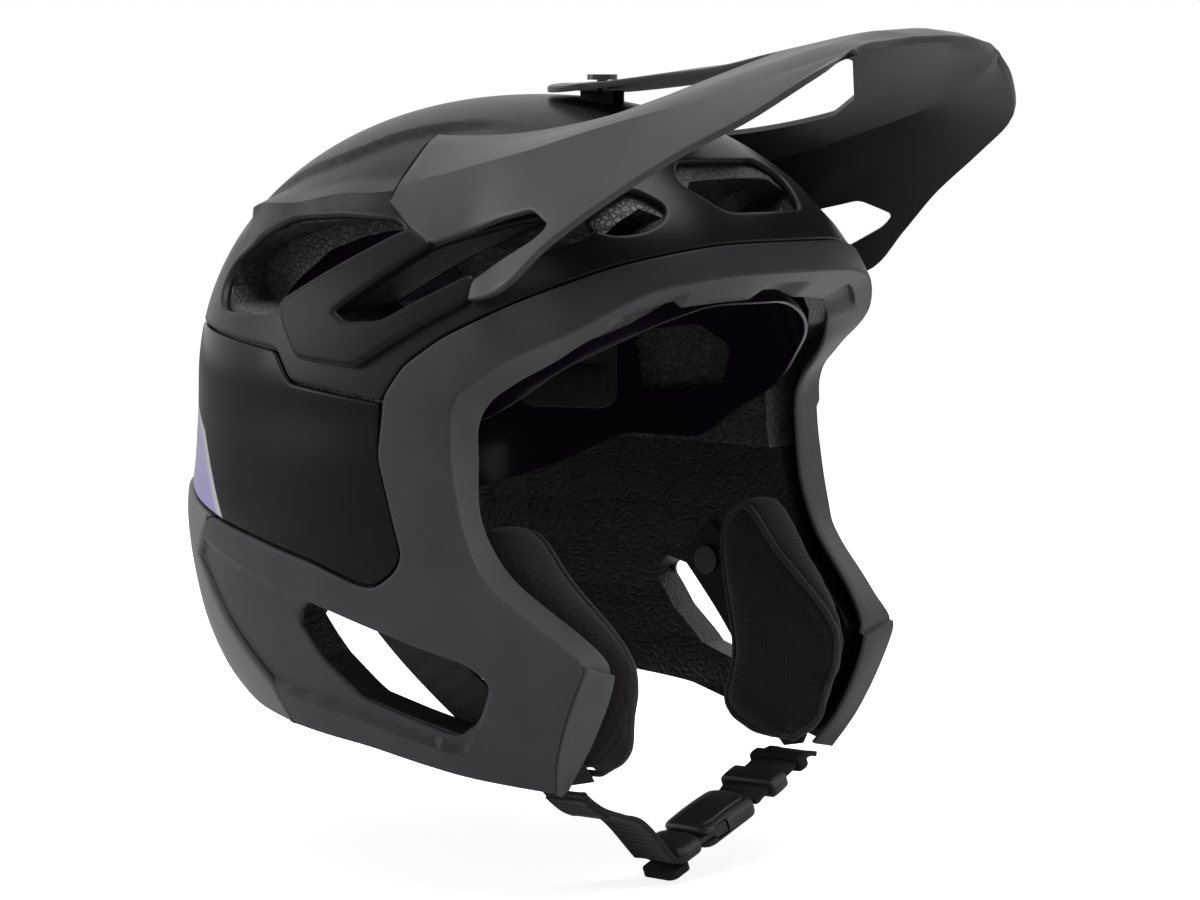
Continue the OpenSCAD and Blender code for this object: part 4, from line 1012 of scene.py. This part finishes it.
for side_name, sign in SIDES:
    pad = cheek_form
    if sign < 0:
        other_mesh = skin.copy()
        other_mesh.vertices.foreach_set("co", (coords(other_mesh) * FLIP).ravel())
        other_mesh.flip_normals()
        pad = linked("cheek_cushion_right", other_mesh)
    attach(pad, "shell")
    stands(pad, "cheek_fabric", "cheek_pad_" + side_name)
    cord = tube("cheek_piping_" + side_name, cord_path * [sign, 1, 1], PIPING_R, "piping", "shell", True)
    stands(cord, "cheek_fabric")


def cushion(name, node, loop, thick, soft=9.0, channels=()):
    """Sewn pad on the liner, crowned between its edge and its channels."""
    ring, edge_h = np.concatenate([loop, loop[:1]]), 1.3

    def under(flat):
        e = np.clip(real_distance(flat, ring) / soft, 0, 1)
        h = edge_h + (thick - edge_h) * np.sqrt(1 - (1 - e) ** 2)
        for line in channels:
            h -= 0.45 * thick * np.exp(-(real_distance(flat, line) / 2.2) ** 2) * np.sqrt(e)
        return PAD_DEPTH + h
    pad = panel(name, [loop], PAD_DEPTH, 1.0, "pad", "liner_set", gap=0.0, rounding=0.5, under=under, lines=channels,
                sharp=75)
    stands(pad, "pad_fabric", node)


def box(x0, x1, y0, y1, r):
    """Rectangle with rounded corners."""
    return dense(soften([[x0, y0], [x1, y0], [x1, y1], [x0, y1]], r, True), 0.6, True)


def pad_points(t, z):
    """Domain points at plan angles and levels, at the depth of the pads."""
    return to_domain(t, meridian(z, PAD_DEPTH)[0])


def patch(t0, t1, z0, z1, arc=85):
    """Rounded rectangle between two plan angles and two levels."""
    p = box(t0 * arc, t1 * arc, z0, z1, 8.0)
    return pad_points(p[:, 0] / arc, p[:, 1])


def upright(t, z0, z1):
    return pad_points(np.full(12, t), np.linspace(z0, z1, 12))


PAD_THICK = 6.6
cushion("brow_cushion", "brow_pad", patch(-0.628, 0.628, 56.5, 72.5), PAD_THICK, 7.5,
        [upright(a, 58, 71) for a in (-0.33, 0.0, 0.33)])
for side_name, sign in SIDES:
    cushion("temple_cushion_" + side_name, "temple_pad_" + side_name, patch(*sorted((sign * 1.82, sign * 2.23)), 3, 39),
            PAD_THICK, 9, [pad_points(np.linspace(sign * 1.87, sign * 2.18, 9), np.full(9, 21.0))])
for name, x0, x1, y0, y1 in (("middle", -15, 15, -48, 48), ("left", 24, 48, -23, 47), ("right", -48, -24, -23, 47)):
    channel_line = np.stack([np.linspace(x0 + 3, x1 - 3, 9), np.full(9, (y0 + y1) / 2)], -1)
    cushion("crown_cushion_" + name, "crown_pad", plan_domain(box(x0, x1, y0, y1, 9.0), PAD_DEPTH), PAD_THICK, 9,
            [plan_domain(channel_line, PAD_DEPTH)])
cushion("nape_cushion", "nape_pad", patch(2.56, 3.72, -29, -1), PAD_THICK, 9,
        [upright(a, -26, -4) for a in (2.74, 3.14, 3.54)])

# ---- webbing and buckle

BUCKLE_AT = np.array([8.0, -70.0, -139.8])
SWING = np.array([-63.0, -67.0])
TILT, TURN = math.radians(21), math.atan2(BUCKLE_AT[1] - SWING[1], BUCKLE_AT[0] - SWING[0])
REACH = math.hypot(*(BUCKLE_AT[:2] - SWING))
WAY = np.array([math.cos(TURN) * math.cos(TILT), math.sin(TURN) * math.cos(TILT), math.sin(TILT)])
BUCKLE_L, BUCKLE_W, BUCKLE_H, MOUTH = 40.0, 24.0, 10.0, -8.0
LEFT_TOP, LEFT_FOOT = np.array([57.5, -71, -118.6]), np.array([33, -71.5, -129])
RIGHT_LINE = [[-63, -67, -118.8], [-60, -67.2, -121.5], [-53, -67.7, -125.7], [-43.5, -68.2, -129], [-33, -69, -133],
              BUCKLE_AT - WAY * 25]
LEFT_LINE = [[63, -71, -118.8], LEFT_TOP, (LEFT_TOP + LEFT_FOOT) / 2, LEFT_FOOT, BUCKLE_AT + WAY * 23,
             BUCKLE_AT + WAY * 20.9]
FOLD_LINE = [[-62.5, -67, -121], [-58.5, -67.3, -124.2], [-54, -67.6, -127.2], [-50, -67.9, -128.9]]
STRAP_W, STRAP_T = 20, 2
ROOT_FACE, ROOT_BACK = 16.4, 18.2  # depths of the webbing roots below the shell


def strap(name, line, w, t, body, *nodes):
    """Webbing of width w along a line. Gives its path, and the ways out of its face and along its edge."""
    path = curve(line, 1.3)
    along = unit(np.gradient(path, axis=0))
    face = unit(np.cross(along, [0.0, 1.0, 0.0]))
    edge = np.cross(face, along)
    a, b = w / 2, t / 2
    sect = [(-a, -0.3 * b), (-a + 0.25, -b), (-a + 1.6, -b), (-a + 2.0, -0.8 * b), (0, -0.8 * b)]
    sect += [(-x, y) for x, y in sect[3::-1]]
    rings = np.stack([path + s * (edge * x + face * y) for s in (1, -1) for x, y in sect], 1)
    stands(sweep(name, rings, "webbing", body, 50), "webbing", *nodes)
    return path, face, edge


def bar_tack(name, run, at, lift):
    """Rows of short raised threads across a strap, each a six-sided body."""
    path, face, edge = (k[int(at * (len(run[0]) - 1))] for k in run)
    flat = unit(np.cross(edge, [0.3, 0.9, 0.2]))
    high = np.cross(edge, flat)
    round_way = [flat * math.cos(a * PI / 3) + high * math.sin(a * PI / 3) for a in range(6)]
    verts, faces = [], []
    for r in (-2.6, 0.0, 2.6):
        for c in np.linspace(-7.5, 7.5, 7):
            n = len(verts)
            place = path + np.cross(face, edge) * r + edge * c + face * lift
            verts += [place + edge * k * 1.1 + thick * w
                      for k, thick in ((-1, 0.12), (-0.5, 0.32), (0.5, 0.32), (1, 0.12)) for w in round_way]
            faces += [(n + k + a, n + k + (a + 1) % 6, n + k + 6 + (a + 1) % 6, n + k + 6 + a)
                      for k in (0, 6, 12) for a in range(6)]
            faces += [tuple(n + a for a in range(5, -1, -1)), tuple(n + 18 + a for a in range(6))]
    stands(make(name, verts, faces, "thread", "tongue_set", 60), "webbing")


def webbing_root(name, node, sign):
    """Webbing on the inside of the foam, from its rivet down to the rim."""
    run = curve([[1, -46], [-14, -61], [-40, -86], [-58, -104], [-65, -110.5], [-67, -114], [-67, -116.8]], 2.0)
    way = unit(np.gradient(run, axis=0))
    cross_way = np.stack([-way[:, 1], way[:, 0]], -1)
    rings, across = [], np.linspace(-10, 10, 9)
    # The low end runs to a point, so that the webbing below it has room to swing
    tip = 0.3 * smoothstep((np.linspace(0, 1, len(run)) - 0.8) / 0.2)
    for q, c, k in zip(run, cross_way, tip):
        yz = q + c * across[:, None] + np.abs(across)[:, None] * [0, k]
        sheets = [np.stack([skirt_x(*p.T, d), *p.T], -1) for p, d in ((yz, ROOT_FACE), (yz[::-1], ROOT_BACK))]
        rings.append(np.concatenate(sheets) * [sign, 1, 1])
    stands(sweep(name, rings, "webbing", "shell", 50), "webbing", node)


for side_name, sign in SIDES:
    webbing_root("web_root_" + side_name, "strap_root_" + side_name, sign)
right_run = strap("strap_web_right", RIGHT_LINE, STRAP_W, STRAP_T, "tongue_set", "chin_strap_right")
fold_run = strap("strap_fold_right", FOLD_LINE, 19, 1.5, "tongue_set")
bar_tack("fold_stitching", fold_run, 0.45, 0.75)
bar_tack("fold_stitching_back", fold_run, 0.45, -0.75)
bar_tack("loop_stitching", right_run, 0.72, 0.85)
strap("strap_web_left", LEFT_LINE, STRAP_W, STRAP_T, "strap_set", "chin_strap_left")


def turned(a, b, angle):
    """The pair a, b turned by an angle."""
    return a * math.cos(angle) - b * math.sin(angle), a * math.sin(angle) + b * math.cos(angle)


def in_buckle(p):
    """Buckle coordinates, x along it from its middle, in the part's frame."""
    p = np.asarray(p, float)
    x, z = turned(p[..., 0], p[..., 2], TILT)
    return BUCKLE_AT + np.stack([*turned(x, p[..., 1], TURN), z], -1)


def quarter_round(e, r):
    """Height of a quarter circle of radius r, as a share, at distance e from its foot."""
    return math.sqrt(max(1 - (1 - min(e / r, 1)) ** 2, 0))


def moulded(name, x0, x1, w, z0, z1, arch, n=30, round_x=4.0, boxy=2 / 3.4):
    """Moulded block along the buckle with rounded ends and edges, its top arched by arch."""
    turn = np.linspace(0, 2 * PI, 48, endpoint=False)
    rings = []
    for x in (x0 + x1) / 2 + (x1 - x0) / 2 * np.sin(np.linspace(-PI / 2, PI / 2, n)):
        e = min(x - x0, x1 - x)
        plan = 1 - (1 - quarter_round(e, round_x)) * 2 * round_x / w
        half = (z1 - z0) / 2 * (0.45 + 0.55 * quarter_round(e, 2.2) if e > 0 else 0.3)
        y = w / 2 * plan * spow(np.cos(turn), boxy)
        z = half * spow(np.sin(turn), boxy)
        top = np.clip(z / max(half, 1e-6), 0, 1)
        rise = arch * math.sin(PI * (x - x0) / (x1 - x0)) * (1 - 0.35 * (y / (w / 2)) ** 2)
        rings.append(np.stack([np.full(48, x), y, z + (z0 + z1) / 2 + top * rise], -1))
    return sweep(name, in_buckle(np.array(rings)), "buckle", None, 50)


def tee_rings(gap, spread, n):
    """T-shaped section swept about the right webbing's axis."""
    a, b = 1.5 - gap, 2.7 - gap  # half the thickness of the stem and of the head
    x0, x1, x2 = MOUTH - 6, MOUTH + 5 + gap, MOUTH + 12 - gap
    sect = np.array([(x0, -a), (x1, -a), (x1, -b), (x2, -b), (x2, b), (x1, b), (x1, a), (x0, a)])
    sx, sz = turned(sect[:, 0], sect[:, 1], TILT)
    turns = TURN + np.linspace(-spread, spread, n)
    return np.stack([np.stack([SWING[0] + (REACH + sx) * math.cos(g), SWING[1] + (REACH + sx) * math.sin(g),
                               BUCKLE_AT[2] + sz], -1) for g in turns])


housing = moulded("buckle_body", MOUTH, BUCKLE_L / 2, BUCKLE_W, -BUCKLE_H / 2, BUCKLE_H / 2 - 0.6, 1.0)
channel = sweep("channel", tee_rings(0.0, 0.5, 24), "buckle", None, 30)
cut = housing.modifiers.new("cut", "BOOLEAN")
cut.operation = "DIFFERENCE"
cut.solver = "EXACT"
cut.object = channel
cut_mesh = applied(housing)
bpy.data.objects.remove(channel)
cut_mesh.shade_smooth()
cut_mesh.set_sharp_from_angle(angle=math.radians(38))
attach(housing, "strap_set")
stands(housing, "buckle_plastic", "buckle_housing")
# Arched rib along the housing's edge
rib = []
for u in np.linspace(-1, 1, 40):
    x = MOUTH + 3 + (BUCKLE_L / 2 - MOUTH - 6) * (u + 1) / 2
    rib.append([x, -BUCKLE_W / 2 + 3.1 + 1.8 * abs(u) ** 6, BUCKLE_H / 2 - 0.75 + 0.78 * math.sin(PI * (u + 1) / 2)])
stands(tube("buckle_rib", in_buckle(rib), 0.75, "buckle", "strap_set"), "buckle_plastic")
block = moulded("tongue_block", -BUCKLE_L / 2 - 3, MOUTH - 1.8, BUCKLE_W - 2, 1 - BUCKLE_H / 2, BUCKLE_H / 2 - 1.4,
                0.4, 24)
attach(block, "tongue_set")
stands(block, "buckle_plastic", "buckle_tongue")
head_rings = tee_rings(0.6, math.asin((BUCKLE_W / 2 - 1.2) / REACH), 12)
stands(sweep("tongue_head", head_rings, "buckle", "tongue_set", 30), "buckle_plastic")


def strap_loop(name, share, l, wall, material, body, node, slot):
    """Rounded frame round the left webbing."""
    way = unit(LEFT_FOOT - LEFT_TOP)
    at = LEFT_TOP + (LEFT_FOOT - LEFT_TOP) * share
    face_way = unit(np.cross(way, [0.0, 1.0, 0.0]))
    edge_way = np.cross(face_way, way)
    outline = soften([[-10.65, -1.65], [10.65, -1.65], [10.65, 1.65], [-10.65, 1.65]], 0.8, True, 4)
    out_way = np.roll(outline, 1, 0) - np.roll(outline, -1, 0)
    out_way = unit(np.stack([-out_way[:, 1], out_way[:, 0]], -1))
    if np.sum(out_way * outline) < 0:
        out_way = -out_way
    sect = [(l / 2, 0), (l / 2, 0.5 * wall), (l / 2 - 0.6, wall - 0.15), (l / 2 - 1.3, wall)]
    sect = [(-l / 2, 0)] + sect + [(0, wall + 0.1)] + [(-a, b) for a, b in sect[:0:-1]]
    rings = [[at + way * a + edge_way * (q[0] + n[0] * b) + face_way * (q[1] + n[1] * b) for a, b in sect]
             for q, n in zip(outline, out_way)]
    stands(sweep(name, rings, material, body, 40, True), slot, node)


strap_loop("slider_frame", 0.8, 9, 2.0, "buckle", "strap_set", "strap_slider", "buckle_plastic")
strap_loop("keeper_band", 0.2, 5, 1.5, "rubber", "keeper", "strap_keeper", "black_rubber")

# ---- carried-over CAD nodes

FINISH = {"screw": ("visor_screw",), "rubber": ("visor_seat", "visor_sockets", "liner_anchors", "pull_tab"),
          "foam": ("foam_upper_left", "foam_upper_right"), "foam_dark": ("foam_lower",),
          "snap": ("pad_snaps_left", "pad_snaps_right"), "steel": ("strap_rivets",), "magnet": ("buckle_magnet",)}
for finish, nodes in FINISH.items():
    for node in nodes:
        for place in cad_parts[node].material_slots:
            place.material = MAT[finish]

# ---- camera, lights and floor

scene = bpy.context.scene
scene.view_settings.view_transform = "Standard"
camera_data = bpy.data.cameras.new("camera")
camera_data.lens = 129.6
camera_data.sensor_width = 36.0
camera_data.clip_end = 50
camera = linked("camera", camera_data)
azimuth, elevation = math.radians(-49), math.radians(5)
back = Vector((math.sin(azimuth) * math.cos(elevation), -math.cos(azimuth) * math.cos(elevation), math.sin(elevation)))
right = Vector((math.cos(azimuth), math.sin(azimuth), 0))
up = back.cross(right)
facing = Matrix((right, up, back)).transposed().to_4x4()
camera.matrix_world = Matrix.Translation(Vector((-1.1890, -1.0625, 0.1335))) @ facing
scene.camera = camera


def area_light(name, at, look, size, power):
    data = bpy.data.lights.new(name, "AREA")
    data.shape = "RECTANGLE"
    data.size, data.size_y = size
    data.energy = power
    light = linked(name, data)
    light.location = at
    light.rotation_euler = (Vector(look) - Vector(at)).to_track_quat("-Z", "Y").to_euler()


area_light("key", (-0.12, -0.25, 1.55), (0, 0, 0), (1.2, 1.2), 31)
area_light("fill", (0.85, -1.75, 0.55), (0, 0, 0), (1.1, 0.8), 5)
area_light("rear", (-1.1, 1.5, 0.45), (0, 0, -0.05), (0.8, 0.8), 9)

# White where it is seen, dimmer as a light
scene.world = bpy.data.worlds.new("studio")
sky = Shader(scene.world)
ray = sky.add("LightPath", {}).node.outputs
seen = sky.math("MAXIMUM", sky.math("MAXIMUM", ray["Is Camera Ray"], ray["Is Glossy Ray"]), ray["Is Transmission Ray"])
level = sky.add("MapRange", {"To Min": 0.25, "To Max": 1.0, "Value": seen})
sky.set(sky.nodes["Background"], {"Color": (1, 1, 1, 1), "Strength": level})

FLOOR_Z, FLOOR_HALF = -0.158, 8
floor_mesh = bpy.data.meshes.new("floor")
corners = ((-1, -1), (1, -1), (1, 1), (-1, 1))
floor_mesh.from_pydata([(x * FLOOR_HALF, y * FLOOR_HALF, FLOOR_Z) for x, y in corners], [], [(0, 1, 2, 3)])
floor = linked("floor", floor_mesh)
paper = bpy.data.materials.new("paper")
sheet = Shader(paper)
glow = sheet.add("MapRange", {"To Max": 0.8, "Value": sheet.add("LightPath", {}, "Is Camera Ray")})
sheet.body({"Base Color": (0.82, 0.82, 0.82, 1), "Roughness": 1.0, "Specular IOR Level": 0.0,
            "Emission Color": (1, 1, 1, 1), "Emission Strength": glow})
floor_mesh.materials.append(paper)
